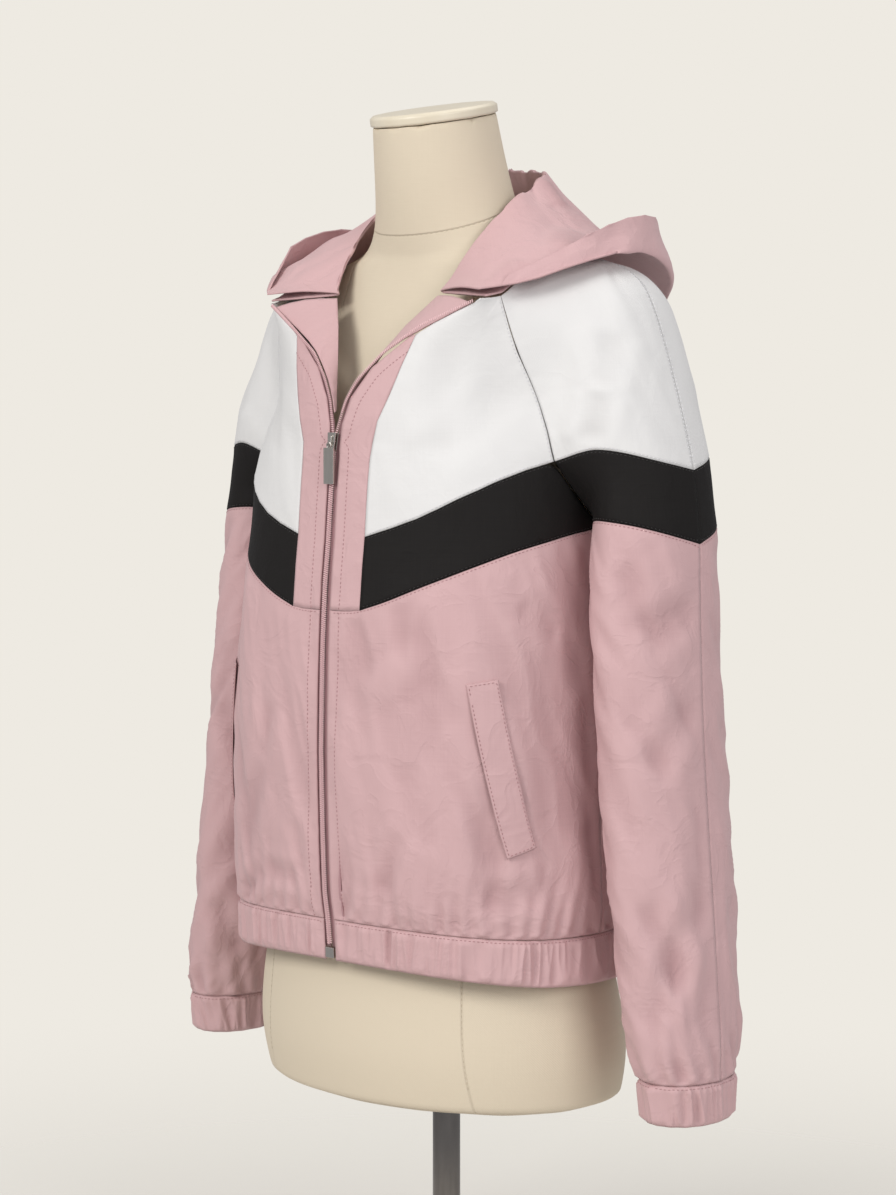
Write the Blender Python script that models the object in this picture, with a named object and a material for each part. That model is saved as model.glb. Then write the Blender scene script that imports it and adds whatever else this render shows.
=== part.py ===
"""A hooded, zip-front windbreaker jacket with raglan sleeves, worn by a limbless dress form on a pole and base.

Metres, +Z up. The origin is the middle of the base's underside. The jacket faces -Y and its wearer's left is +X.
Every cloth piece is a wall cut from one of four shared surfaces: the fronts, the back, the sleeves and the hood.
A surface is a stack of rows, each row a Bezier curve from one seam to the next, worked out from the tables below.
"""

import math
from collections import namedtuple

import bmesh
import bpy
import numpy as np
from mathutils import Matrix

CLOTH = 0.0016
SEAM_GAP = 0.0003
ZIP_HALF = 0.0052
PLACKET_WIDTH = 0.0288
TAPE_WIDTH = 0.0145
TAPE_THICKNESS = 0.0010
FACING_THICKNESS = 0.0012
MIRROR = np.array([-1.0, 1.0, 1.0])
NECK_LIFTS = ((0.0, 0.0024), (0.25, 0.0008), (0.35, 0.0006))

# The dress form and its stand.
BASE_RADIUS = 0.140
BASE_HEIGHT = 0.010
POLE_RADIUS = 0.011
FORM_BOTTOM = 0.250
COLLAR_HEIGHT = 0.030

COLOURS = {
    "pink": ((0.60, 0.40, 0.40), 0.6, 0.0),
    "white": ((0.80, 0.79, 0.79), 0.6, 0.0),
    "black": ((0.020, 0.018, 0.018), 0.6, 0.0),
    "zip_tape": ((0.52, 0.36, 0.36), 0.7, 0.0),
    "nickel": ((0.55, 0.52, 0.49), 0.3, 1.0),
    "form_cloth": ((0.76, 0.69, 0.56), 0.8, 0.0),
    "cap_paint": ((0.74, 0.69, 0.57), 0.45, 0.0),
    "steel": ((0.45, 0.44, 0.43), 0.35, 1.0),
}

# Fronts and back, from the hem up. "edge" is the zip line, "seam" the side seam and, above the armpit, the
# raglan seam; "way" is the direction in which the cloth reaches that seam. "reach" is a Bezier handle's length.
FrontRow = namedtuple("FrontRow", "edge_x edge_y edge_z seam_x seam_y seam_z way_x way_y way_z edge_reach seam_reach")
FRONT_ROWS = (
    FrontRow(0.0000, -0.1330, 0.3647, 0.1660, -0.0120, 0.3520, 0.00, 1.00, 0.00, 0.110, 0.080),
    FrontRow(0.0000, -0.1350, 0.3960, 0.1625, -0.0120, 0.3880, 0.00, 1.00, 0.00, 0.112, 0.084),
    FrontRow(0.0000, -0.1385, 0.4160, 0.1640, -0.0110, 0.4100, 0.00, 1.00, 0.00, 0.116, 0.090),
    FrontRow(0.0000, -0.1405, 0.4600, 0.1605, -0.0090, 0.4580, 0.00, 1.00, 0.00, 0.118, 0.096),
    FrontRow(0.0000, -0.1420, 0.5240, 0.1575, -0.0060, 0.5250, 0.00, 1.00, 0.00, 0.118, 0.100),
    FrontRow(0.0000, -0.1400, 0.6000, 0.1535, 0.0000, 0.6040, 0.00, 1.00, 0.00, 0.116, 0.104),
    FrontRow(0.0000, -0.1370, 0.6500, 0.1515, 0.0040, 0.6550, 0.00, 1.00, 0.00, 0.112, 0.100),
    FrontRow(0.0000, -0.1335, 0.6790, 0.1510, 0.0060, 0.6820, 0.00, 1.00, 0.00, 0.108, 0.094),
    FrontRow(0.0000, -0.1312, 0.7070, 0.1490, -0.0260, 0.7140, 0.12, 0.99, 0.00, 0.100, 0.066),
    FrontRow(0.0000, -0.1285, 0.7380, 0.1450, -0.0490, 0.7445, 0.45, 0.89, 0.05, 0.086, 0.046),
    FrontRow(0.0000, -0.1265, 0.7570, 0.1415, -0.0495, 0.7600, 0.58, 0.80, 0.05, 0.076, 0.046),
    FrontRow(0.0075, -0.1225, 0.7850, 0.1325, -0.0500, 0.7850, 0.72, 0.69, 0.05, 0.062, 0.044),
    FrontRow(0.0344, -0.1111, 0.8200, 0.1210, -0.0625, 0.8240, 0.78, 0.60, 0.15, 0.040, 0.030),
    FrontRow(0.1045, -0.0868, 0.8586, 0.1130, -0.0700, 0.8620, 0.50, 0.80, 0.30, 0.005, 0.005),
)
BackRow = namedtuple("BackRow", "mid_y mid_z seam_x seam_y seam_z way_x way_y way_z mid_reach seam_reach")
BACK_ROWS = (
    BackRow(0.1030, 0.3450, 0.1660, -0.0120, 0.3520, 0.00, -1.00, 0.00, 0.100, 0.070),
    BackRow(0.1045, 0.3820, 0.1625, -0.0120, 0.3880, 0.00, -1.00, 0.00, 0.102, 0.074),
    BackRow(0.1110, 0.4040, 0.1640, -0.0110, 0.4100, 0.00, -1.00, 0.00, 0.106, 0.078),
    BackRow(0.1130, 0.4550, 0.1605, -0.0090, 0.4580, 0.00, -1.00, 0.00, 0.108, 0.080),
    BackRow(0.1110, 0.5240, 0.1575, -0.0060, 0.5250, 0.00, -1.00, 0.00, 0.108, 0.080),
    BackRow(0.1100, 0.6040, 0.1535, 0.0000, 0.6040, 0.00, -1.00, 0.00, 0.106, 0.078),
    BackRow(0.1115, 0.6550, 0.1515, 0.0040, 0.6550, 0.00, -1.00, 0.00, 0.104, 0.074),
    BackRow(0.1125, 0.6820, 0.1510, 0.0060, 0.6820, 0.00, -1.00, 0.00, 0.100, 0.070),
    BackRow(0.1145, 0.7140, 0.1495, 0.0420, 0.7140, 0.10, -0.99, 0.00, 0.092, 0.046),
    BackRow(0.1155, 0.7440, 0.1450, 0.0670, 0.7445, 0.45, -0.89, 0.00, 0.080, 0.034),
    BackRow(0.1152, 0.7600, 0.1415, 0.0730, 0.7600, 0.58, -0.81, 0.00, 0.074, 0.032),
    BackRow(0.1140, 0.7870, 0.1330, 0.0790, 0.7870, 0.75, -0.66, 0.00, 0.066, 0.030),
    BackRow(0.1050, 0.8360, 0.1090, 0.0800, 0.8320, 0.85, -0.50, 0.10, 0.052, 0.030),
    BackRow(0.0840, 0.8880, 0.0700, 0.0680, 0.8900, 0.72, -0.68, 0.05, 0.034, 0.022),
)
ARMPIT_ROW = 7
SLIDER_ROW = 10
TOP_ROW = 13

# Sleeves, from the neck down. The front and the back halves leave their seams in the direction of "fore" and
# "aft", meet along the overarm line, and below the armpit close into a tube along the underarm line.
SleeveRow = namedtuple(
    "SleeveRow",
    "fore_x fore_y fore_z aft_x aft_y aft_z over_x over_y over_z fore_dx fore_dy fore_dz aft_dx aft_dy aft_dz over_fore over_aft",
)
SLEEVE_ROWS = (
    SleeveRow(0.1134, -0.0698, 0.8620, 0.0700, 0.0680, 0.8900, 0.0900, 0.0180, 0.8960,
              0.006, 0.022, 0.012, 0.012, -0.010, 0.002, 0.034, 0.018),
    SleeveRow(0.1213, -0.0624, 0.8240, 0.1090, 0.0800, 0.8320, 0.1400, 0.0205, 0.8900,
              0.026, 0.013, 0.030, 0.032, -0.012, 0.032, 0.046, 0.040),
    SleeveRow(0.1325, -0.0500, 0.7850, 0.1330, 0.0790, 0.7870, 0.1740, 0.0210, 0.8740,
              0.030, 0.016, 0.034, 0.036, -0.010, 0.038, 0.060, 0.056),
    SleeveRow(0.1417, -0.0495, 0.7600, 0.1417, 0.0730, 0.7600, 0.1880, 0.0210, 0.8460,
              0.032, 0.010, 0.026, 0.038, -0.004, 0.032, 0.066, 0.062),
    SleeveRow(0.1454, -0.0490, 0.7445, 0.1454, 0.0670, 0.7445, 0.1985, 0.0210, 0.8180,
              0.032, 0.000, 0.018, 0.036, 0.006, 0.022, 0.070, 0.066),
    SleeveRow(0.1498, -0.0262, 0.7140, 0.1503, 0.0422, 0.7140, 0.2125, 0.0205, 0.7740,
              0.028, -0.022, 0.008, 0.026, 0.022, 0.010, 0.074, 0.072),
    SleeveRow(0.1522, 0.0060, 0.6820, 0.1522, 0.0060, 0.6820, 0.2235, 0.0195, 0.7340,
              0.003, -0.058, 0.006, 0.003, 0.062, 0.006, 0.078, 0.074),
    SleeveRow(0.1545, 0.0090, 0.6520, 0.1545, 0.0090, 0.6520, 0.2300, 0.0180, 0.6880,
              0.000, -0.072, 0.000, 0.000, 0.072, 0.000, 0.079, 0.076),
    SleeveRow(0.1585, 0.0085, 0.6080, 0.1585, 0.0085, 0.6080, 0.2335, 0.0150, 0.6280,
              0.000, -0.076, 0.000, 0.000, 0.076, 0.000, 0.080, 0.077),
    SleeveRow(0.1645, 0.0070, 0.5480, 0.1645, 0.0070, 0.5480, 0.2385, 0.0120, 0.5560,
              0.000, -0.080, 0.000, 0.000, 0.080, 0.000, 0.080, 0.079),
    SleeveRow(0.1705, 0.0060, 0.4920, 0.1705, 0.0060, 0.4920, 0.2440, 0.0100, 0.4950,
              0.000, -0.081, 0.000, 0.000, 0.081, 0.000, 0.081, 0.081),
    SleeveRow(0.1795, 0.0040, 0.4210, 0.1795, 0.0040, 0.4210, 0.2525, 0.0070, 0.4210,
              0.000, -0.080, 0.000, 0.000, 0.080, 0.000, 0.080, 0.080),
    SleeveRow(0.1895, 0.0020, 0.3490, 0.1895, 0.0020, 0.3490, 0.2600, 0.0040, 0.3490,
              0.000, -0.075, 0.000, 0.000, 0.075, 0.000, 0.075, 0.075),
    SleeveRow(0.1960, 0.0010, 0.3150, 0.1960, 0.0010, 0.3150, 0.2640, 0.0020, 0.3150,
              0.000, -0.069, 0.000, 0.000, 0.069, 0.000, 0.069, 0.069),
    SleeveRow(0.2045, 0.0000, 0.2900, 0.2045, 0.0000, 0.2900, 0.2650, 0.0000, 0.2900,
              0.000, -0.057, 0.000, 0.000, 0.057, 0.000, 0.057, 0.057),
    SleeveRow(0.2075, 0.0000, 0.2590, 0.2075, 0.0000, 0.2590, 0.2635, 0.0000, 0.2590,
              0.000, -0.051, 0.000, 0.000, 0.051, 0.000, 0.051, 0.051),
)
CUFF_ROW = 14
SLEEVE_END = 15

# Hood, from the zip end (0) round to the centre back: how far round the neck seam it is (0 to 1), roll of the
# stand, floor of the bag, outer bulge of the bag and edge of the face opening.
HoodRow = namedtuple(
    "HoodRow", "neck roll_x roll_y roll_z floor_x floor_y floor_z side_x side_y side_z face_x face_y face_z"
)
HOOD_ROWS = (
    HoodRow(0.020, 0.0530, -0.0665, 0.8650, 0.0800, -0.0775, 0.8670, 0.1075, -0.0880, 0.8650, 0.1110, -0.0860, 0.8680),
    HoodRow(0.160, 0.0600, -0.0460, 0.8930, 0.1010, -0.0560, 0.8850, 0.1300, -0.0640, 0.8700, 0.1330, -0.0480, 0.8880),
    HoodRow(0.330, 0.0640, -0.0120, 0.9260, 0.1180, -0.0140, 0.9050, 0.1560, -0.0260, 0.8850, 0.1560, -0.0020, 0.9120),
    HoodRow(0.500, 0.0650, 0.0200, 0.9450, 0.1200, 0.0380, 0.9080, 0.1680, 0.0260, 0.8950, 0.1560, 0.0480, 0.9230),
    HoodRow(0.690, 0.0520, 0.0560, 0.9600, 0.0960, 0.0960, 0.8980, 0.1440, 0.1000, 0.8780, 0.1300, 0.0980, 0.9200),
    HoodRow(0.870, 0.0230, 0.0740, 0.9650, 0.0420, 0.1240, 0.8560, 0.0620, 0.1600, 0.8300, 0.0580, 0.1480, 0.9020),
    HoodRow(1.000, 0.0000, 0.0770, 0.9655, 0.0000, 0.1270, 0.8480, 0.0000, 0.1680, 0.8220, 0.0000, 0.1560, 0.8980),
)
# The roll of the facing behind the open zip, against the fronts' rows.
RollRow = namedtuple("RollRow", "row x y z")
ROLL_ROWS = (
    RollRow(10.0, 0.0010, -0.1230, 0.7570), RollRow(11.0, 0.0085, -0.1150, 0.7870), RollRow(12.0, 0.0230, -0.0980, 0.8210),
    RollRow(12.5, 0.0340, -0.0860, 0.8400), RollRow(13.0, 0.0530, -0.0672, 0.8648),
)
HOOD_END = 6

# Heights of the black band's two seams: on the fronts by share of the way from placket to raglan seam, on the
# back from the raglan seam to the middle, on the sleeves from the raglan or underarm seam to the overarm line.
BandRow = namedtuple("BandRow", "share top bottom")
FRONT_BAND = (
    BandRow(0.00, 0.6835, 0.6290), BandRow(0.08, 0.6900, 0.6360), BandRow(0.21, 0.6990, 0.6480),
    BandRow(0.38, 0.7125, 0.6605), BandRow(0.60, 0.7255, 0.6750), BandRow(0.80, 0.7340, 0.6840), BandRow(1.00, 0.7400, 0.6900),
)
BACK_BAND = (BandRow(0.00, 0.7400, 0.6900), BandRow(0.40, 0.7290, 0.6770), BandRow(1.00, 0.6900, 0.6360))
SLEEVE_BAND = (
    BandRow(0.00, 0.7400, 0.6900), BandRow(0.34, 0.7500, 0.6980), BandRow(0.58, 0.7478, 0.6965),
    BandRow(0.78, 0.7426, 0.6910), BandRow(1.00, 0.7340, 0.6800),
)
# Width from the zip line to the panels' edge, and from there to the placket's seam, by row of the fronts.
EDGE_WIDTHS = ((SLIDER_ROW, ZIP_HALF), (11, 0.0044), (12, 0.0036), (TOP_ROW, 0.0030))
PLACKET_WIDTHS = ((9, PLACKET_WIDTH), (10, 0.0305), (11, 0.0350), (11.5, 0.0300), (12, 0.0200), (12.35, 0.0035), (12.4, 0.0))
PLACKET_TOP = 12.34

# Soft folds: a trough (depth under 0) or ridge from one point of a surface to another, in (share, row).
Fold = namedtuple("Fold", "share_a row_a share_b row_b width depth")
FRONT_FOLDS = (
    Fold(0.93, 7.4, 0.84, 3.6, 0.016, -0.0050),
    Fold(0.78, 6.6, 0.70, 3.2, 0.018, 0.0030),
    Fold(0.58, 3.0, 0.62, 1.3, 0.010, -0.0030),
    Fold(0.35, 2.9, 0.33, 1.3, 0.011, 0.0025),
    Fold(0.90, 3.2, 0.95, 1.2, 0.010, 0.0030),
)
BACK_FOLDS = (
    Fold(0.86, 7.4, 0.70, 3.4, 0.017, -0.0045),
    Fold(0.30, 6.0, 0.34, 2.6, 0.018, 0.0025),
    Fold(0.55, 3.2, 0.50, 1.3, 0.011, -0.0030),
    Fold(0.15, 3.0, 0.12, 1.3, 0.012, -0.0025),
)
SLEEVE_FORE_FOLDS = (
    Fold(0.40, 1.6, 0.22, 5.4, 0.011, -0.0060),
    Fold(0.62, 7.0, 0.48, 10.5, 0.014, 0.0030),
    Fold(0.30, 11.2, 0.55, 13.6, 0.009, -0.0035),
    Fold(0.75, 12.0, 0.62, 13.7, 0.008, -0.0030),
    Fold(0.40, 12.6, 0.38, 13.8, 0.007, 0.0025),
)
SLEEVE_AFT_FOLDS = (
    Fold(0.40, 1.8, 0.24, 5.4, 0.011, -0.0055),
    Fold(0.55, 7.5, 0.45, 10.8, 0.014, -0.0030),
    Fold(0.35, 11.4, 0.50, 13.6, 0.009, 0.0030),
    Fold(0.70, 12.4, 0.66, 13.8, 0.008, -0.0030),
)
HOOD_FOLDS = (Fold(0.50, 2.0, 0.42, 3.6, 0.012, 0.0025), Fold(0.82, 3.2, 0.80, 5.2, 0.014, 0.0030))

# Corners of the pocket welt on the fronts, as (share, row): upper inner, upper outer, lower outer, lower inner.
WELT_CORNERS = ((0.474, 4.683), (0.594, 4.719), (0.730, 3.005), (0.618, 2.866))
WELT_THICKNESS = 0.0012
WELT_LIFT = 0.0006

# Zip hardware: the slider stands at this height, its pull tab turns on an axis along X.
SLIDER_HEIGHT = 0.7540
SLIDER_SIZE = (0.0086, 0.0040, 0.0150)
HINGE_Z = 0.7525
HINGE_Y = -0.1322
PULL_SIZE = (0.0115, 0.0020, 0.0225)

# Gathers of the elastic bands.
HEM_GATHERS = 46
CUFF_GATHERS = 16
GATHER_DEPTH = 0.0011
CUFF_GATHER_DEPTH = 0.0014

# Rings of the dress form from its underside up: half width, front and back reach from the axis, middle and
# the slope with which the ring leans to the front.
FormRing = namedtuple("FormRing", "z half_width front back lean")
FORM_RINGS = (
    FormRing(0.2500, 0.1420, 0.1010, 0.0950, 0.00),
    FormRing(0.2560, 0.1570, 0.1150, 0.1060, 0.00),
    FormRing(0.2900, 0.1645, 0.1230, 0.1100, 0.00),
    FormRing(0.3300, 0.1600, 0.1210, 0.1010, 0.00),
    FormRing(0.3900, 0.1470, 0.1160, 0.0900, 0.00),
    FormRing(0.4500, 0.1320, 0.1080, 0.0820, 0.00),
    FormRing(0.5300, 0.1200, 0.1010, 0.0760, 0.00),
    FormRing(0.6000, 0.1270, 0.1120, 0.0820, 0.00),
    FormRing(0.6600, 0.1350, 0.1190, 0.0880, 0.00),
    FormRing(0.7200, 0.1330, 0.1090, 0.0920, 0.00),
    FormRing(0.7700, 0.1310, 0.0940, 0.0930, 0.00),
    FormRing(0.8100, 0.1290, 0.0780, 0.0870, 0.00),
    FormRing(0.8450, 0.1290, 0.0620, 0.0770, 0.00),
    FormRing(0.8700, 0.1200, 0.0520, 0.0680, 0.00),
    FormRing(0.8860, 0.1090, 0.0480, 0.0600, 0.00),
    FormRing(0.8920, 0.0925, 0.0470, 0.0580, 0.00),
    FormRing(0.8970, 0.0760, 0.0470, 0.0560, 0.03),
    FormRing(0.9100, 0.0640, 0.0490, 0.0550, 0.06),
    FormRing(0.9300, 0.0570, 0.0520, 0.0520, 0.09),
    FormRing(0.9600, 0.0520, 0.0570, 0.0430, 0.14),
    FormRing(0.9980, 0.0480, 0.0615, 0.0335, 0.19),
)
CAP_THICKNESS = 0.009
CAP_OVERHANG = 0.0015


def slopes(points):
    """Tangents at evenly spaced points that never overshoot them."""
    steps = np.diff(points, axis=0)
    inner = np.where(
        steps[1:] * steps[:-1] > 0,
        2 * steps[1:] * steps[:-1] / np.where(steps[1:] + steps[:-1] == 0, 1, steps[1:] + steps[:-1]),
        0,
    )
    return np.concatenate([steps[:1], inner, steps[-1:]])


def prepared(table, corner=None, columns=()):
    """A table's rows and their tangents, as arrays. At the corner row the named columns have no tangent."""
    points = np.array(table, float)
    tangents = slopes(points)
    for column in columns:
        tangents[corner, table[0]._fields.index(column)] = 0.0
    return points, tangents


def along(curves, at):
    """All columns of a prepared table at a row number that need not be whole, by a smooth cubic."""
    points, tangents = curves
    row = int(min(max(math.floor(at), 0), len(points) - 2))
    u = at - row
    return (
        points[row] * (2 * u**3 - 3 * u**2 + 1)
        + tangents[row] * (u**3 - 2 * u**2 + u)
        + points[row + 1] * (3 * u**2 - 2 * u**3)
        + tangents[row + 1] * (u**3 - u**2)
    )


def between(pairs, at):
    """A value read from (position, value) pairs, held at the ends."""
    if at <= pairs[0][0]:
        return pairs[0][1]
    for (low, start), (high, end) in zip(pairs, pairs[1:]):
        if at <= high:
            return start + (end - start) * (at - low) / (high - low)
    return pairs[-1][1]


def band_height(rows, share, side):
    """The height of a band's top or bottom seam at a share of its run."""
    return between([(row.share, getattr(row, side)) for row in rows], share)


def bezier(a, b, c, d, s):
    """The point at s of a cubic Bezier curve."""
    return a * (1 - s) ** 3 + 3 * b * s * (1 - s) ** 2 + 3 * c * s**2 * (1 - s) + d * s**3


FRONT_CURVES = prepared(FRONT_ROWS, ARMPIT_ROW, ("seam_x", "seam_y"))
BACK_CURVES = prepared(BACK_ROWS, ARMPIT_ROW, ("seam_x", "seam_y"))
SLEEVE_CURVES = prepared(SLEEVE_ROWS, TOP_ROW - ARMPIT_ROW, ("fore_x", "fore_y", "aft_x", "aft_y"))
HOOD_CURVES = prepared(HOOD_ROWS)


def front_shape(s, row):
    """The left front from the zip line (s = 0) to its seam (s = 1)."""
    v = along(FRONT_CURVES, row)
    edge, seam, way = v[0:3], v[3:6], v[6:9]
    across = np.array([1.0, -0.10 if row > SLIDER_ROW else 0.0, 0.0])
    return bezier(edge, edge + across * v[9], seam - way * v[10], seam, s)


def back_shape(s, row):
    """The left half of the back from the middle (s = 0) to its seam; s under 0 is the right half."""
    v = along(BACK_CURVES, row)
    mid, seam, way = np.array([0.0, v[0], v[1]]), v[2:5], v[5:8]
    point = bezier(mid, mid + np.array([v[8], 0.0, 0.0]), seam - way * v[9], seam, abs(s))
    return point * MIRROR if s < 0 else point


def sleeve_shape(s, row):
    """The left sleeve: s from -1, its back seam, over 0, the overarm line, to 1, its front seam."""
    v = along(SLEEVE_CURVES, row)
    over = v[6:9]
    if s >= 0:
        seam, start, reach = v[0:3], v[9:12], np.array([0.0, -v[15], -0.02 * v[15] * (row < 5)])
    else:
        seam, start, reach = v[3:6], v[12:15], np.array([0.0, v[16], -0.02 * v[16] * (row < 5)])
    return bezier(over, over + reach, seam + start, seam, abs(s))


def neck_line():
    """The left half of the neckline's top edge as points and the lengths along it, from the zip to the centre back."""
    points = [front_shape(s, TOP_ROW) for s in np.linspace(0.15, 0.95, 5)]
    points += [sleeve_shape(s, 0.0) for s in np.linspace(1.0, -0.97, 24)]
    points += [back_shape(s, TOP_ROW) for s in np.linspace(1.0, 0.0, 10)]
    lengths = np.concatenate([[0], np.cumsum(np.linalg.norm(np.diff(points, axis=0), axis=1))])
    return np.array(points), lengths / lengths[-1]


NECK_POINTS, NECK_SHARES = neck_line()


def neck_point(share):
    """The point just above the neckline at a share of its length."""
    point = np.array([np.interp(share, NECK_SHARES, NECK_POINTS[:, k]) for k in range(3)])
    return point + np.array([0.0, 0.0, between(NECK_LIFTS, share)])


def hood_shape(s, row):
    """The left half of the hood: s from 0, the neck seam, to 1, the face edge."""
    v = along(HOOD_CURVES, row)
    stations = np.concatenate([neck_point(v[0]), v[1:]]).reshape(5, 3)
    return along(prepared(stations), s * 4)


def roll_point(row):
    """The point of the facing's roll at a row of the fronts."""
    rows = [r.row for r in ROLL_ROWS]
    return np.array([np.interp(row, rows, [r[k] for r in ROLL_ROWS]) for k in (1, 2, 3)])


def with_folds(shape, folds, scale):
    """A surface moved along its normal by its folds. scale is the length of a whole share and of a row."""

    def folded(s, row):
        point = shape(s, row)
        lift = 0.0
        here = np.array([s * scale[0], row * scale[1]])
        for fold in folds:
            start = np.array([fold.share_a * scale[0], fold.row_a * scale[1]])
            run = np.array([fold.share_b * scale[0], fold.row_b * scale[1]]) - start
            t = min(max(float((here - start) @ run / (run @ run)), 0.0), 1.0)
            distance = float(np.linalg.norm(here - start - run * t))
            lift += fold.depth * math.sin(math.pi * (0.12 + 0.88 * t) ** 0.8) * math.exp(-((distance / fold.width) ** 2))
        lift *= min(1.0, (1.0 - abs(s)) / 0.08)
        return point if abs(lift) < 1e-6 else point + normal_of(shape, s, row) * lift

    return folded


def normal_of(shape, s, row, step=0.004):
    """The unit normal of a surface, taken so that the left front's faces out."""
    low_s, high_s = (s - step, s + step)
    across = shape(min(high_s, 1.0), row) - shape(max(low_s, -1.0 if shape in TWO_SIDED else 0.0), row)
    upward = shape(s, min(row + 0.05, LAST_ROW[shape])) - shape(s, max(row - 0.05, 0.0))
    normal = np.cross(across, upward) * FACING[shape]
    return normal / np.linalg.norm(normal)


TWO_SIDED = {back_shape, sleeve_shape}
LAST_ROW = {front_shape: TOP_ROW, back_shape: TOP_ROW, sleeve_shape: SLEEVE_END, hood_shape: HOOD_END}
FACING = {front_shape: 1.0, back_shape: -1.0, sleeve_shape: 1.0, hood_shape: -1.0}


def row_at_height(shape, s, height, low, high):
    """The row at which a surface has this height at s. Heights rise or fall steadily between the two rows."""
    rising = shape(s, high)[2] > shape(s, low)[2]
    for _ in range(18):
        middle = (low + high) / 2
        if (shape(s, middle)[2] < height) == rising:
            low = middle
        else:
            high = middle
    return (low + high) / 2


def front_share(row, width):
    """The share of a front's row that lies this far from the zip line."""
    low, high = 0.0, 1.0
    shares = np.linspace(low, high, 41)
    points = np.array([front_shape(s, row) for s in shares])
    lengths = np.concatenate([[0], np.cumsum(np.linalg.norm(np.diff(points, axis=0), axis=1))])
    return float(np.interp(width, lengths, shares))


EDGE_SHARES = [(r / 10, front_share(r / 10, between(EDGE_WIDTHS, r / 10))) for r in range(10 * TOP_ROW + 1)]
PLACKET_SHARES = [
    (r / 10, front_share(r / 10, between(EDGE_WIDTHS, r / 10) + between(PLACKET_WIDTHS, r / 10)))
    for r in range(10 * TOP_ROW + 1)
]


def placket_run(s, row):
    """How far along the run from placket seam (0) to raglan seam (1) a point of the front lies."""
    start = between(PLACKET_SHARES, row)
    return (s - start) / (1 - start)


def front_band_row(s, side):
    """The row of the front band's top or bottom seam at s."""
    row = ARMPIT_ROW
    for _ in range(3):
        height = band_height(FRONT_BAND, placket_run(s, row), side)
        row = row_at_height(front_shape, s, height, 4.0, 10.0)
    return row


def back_band_row(s, side):
    """The row of the back band's top or bottom seam at s."""
    return row_at_height(back_shape, s, band_height(BACK_BAND, 1 - abs(s), side), 4.0, 10.0)


def sleeve_band_row(s, side):
    """The row of the sleeve band's top or bottom seam at s."""
    return row_at_height(sleeve_shape, s, band_height(SLEEVE_BAND, 1 - abs(s), side), 2.0, 10.0)


def seam_curve(finder, side, low):
    """A seam as (s, row) pairs, found at 24 steps from low to 1."""
    shares = [low + (1 - low) * k / 24 for k in range(25)]
    return [(s, finder(s, side)) for s in shares]


FRONT_SEAMS = {side: seam_curve(front_band_row, side, 0.0) for side in ("top", "bottom")}
BACK_SEAMS = {side: seam_curve(back_band_row, side, -1.0) for side in ("top", "bottom")}
SLEEVE_SEAMS = {side: seam_curve(sleeve_band_row, side, -1.0) for side in ("top", "bottom")}


FRONT = with_folds(front_shape, FRONT_FOLDS, (0.22, 0.045))
BACK = with_folds(back_shape, BACK_FOLDS + tuple(f._replace(share_a=-f.share_a, share_b=-f.share_b) for f in BACK_FOLDS), (0.20, 0.045))
SLEEVE = with_folds(
    sleeve_shape,
    SLEEVE_FORE_FOLDS + tuple(f._replace(share_a=-f.share_a, share_b=-f.share_b) for f in SLEEVE_AFT_FOLDS),
    (0.11, 0.045),
)
HOOD = with_folds(hood_shape, HOOD_FOLDS, (0.18, 0.05))
PLAIN = {FRONT: front_shape, BACK: back_shape, SLEEVE: sleeve_shape, HOOD: hood_shape}


def material(name):
    """A Principled material of one of the named colours, made once."""
    made = bpy.data.materials.get(name)
    if made is None:
        colour, roughness, metallic = COLOURS[name]
        made = bpy.data.materials.new(name)
        made.use_nodes = True
        shader = made.node_tree.nodes["Principled BSDF"]
        shader.inputs["Base Color"].default_value = (*colour, 1.0)
        shader.inputs["Roughness"].default_value = roughness
        shader.inputs["Metallic"].default_value = metallic
    return made


def add_object(name, mesh, colour, origin=(0.0, 0.0, 0.0)):
    """Links a bmesh as a named object whose faces point out."""
    bmesh.ops.remove_doubles(mesh, verts=mesh.verts, dist=1e-6)
    bmesh.ops.recalc_face_normals(mesh, faces=mesh.faces)
    if mesh.calc_volume(signed=True) < 0:
        bmesh.ops.reverse_faces(mesh, faces=mesh.faces)
    bmesh.ops.translate(mesh, verts=mesh.verts, vec=[-x for x in origin])
    data = bpy.data.meshes.new(name)
    mesh.to_mesh(data)
    mesh.free()
    data.shade_smooth()
    data.set_sharp_from_angle(angle=math.radians(40))
    data.materials.append(material(colour))
    made = bpy.data.objects.new(name, data)
    made.location = origin
    bpy.context.scene.collection.objects.link(made)
    return made


def wall(name, outer, inner, colour, ring=False, mirrored=False):
    """A closed wall between two grids of points, open at its edges or closed into a ring along the first index."""
    mesh = bmesh.new()
    flip = MIRROR if mirrored else np.ones(3)
    skins = [[[mesh.verts.new(p * flip) for p in line] for line in grid] for grid in (outer, inner)]
    across, down = len(outer), len(outer[0])
    columns = range(across if ring else across - 1)
    for skin in skins:
        for i in columns:
            for j in range(down - 1):
                k = (i + 1) % across
                mesh.faces.new([skin[i][j], skin[k][j], skin[k][j + 1], skin[i][j + 1]])
    for j in (0, down - 1):
        for i in columns:
            k = (i + 1) % across
            mesh.faces.new([skins[0][i][j], skins[0][k][j], skins[1][k][j], skins[1][i][j]])
    if not ring:
        for i in (0, across - 1):
            for j in range(down - 1):
                mesh.faces.new([skins[0][i][j], skins[0][i][j + 1], skins[1][i][j + 1], skins[1][i][j]])
    return add_object(name, mesh, colour)


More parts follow.
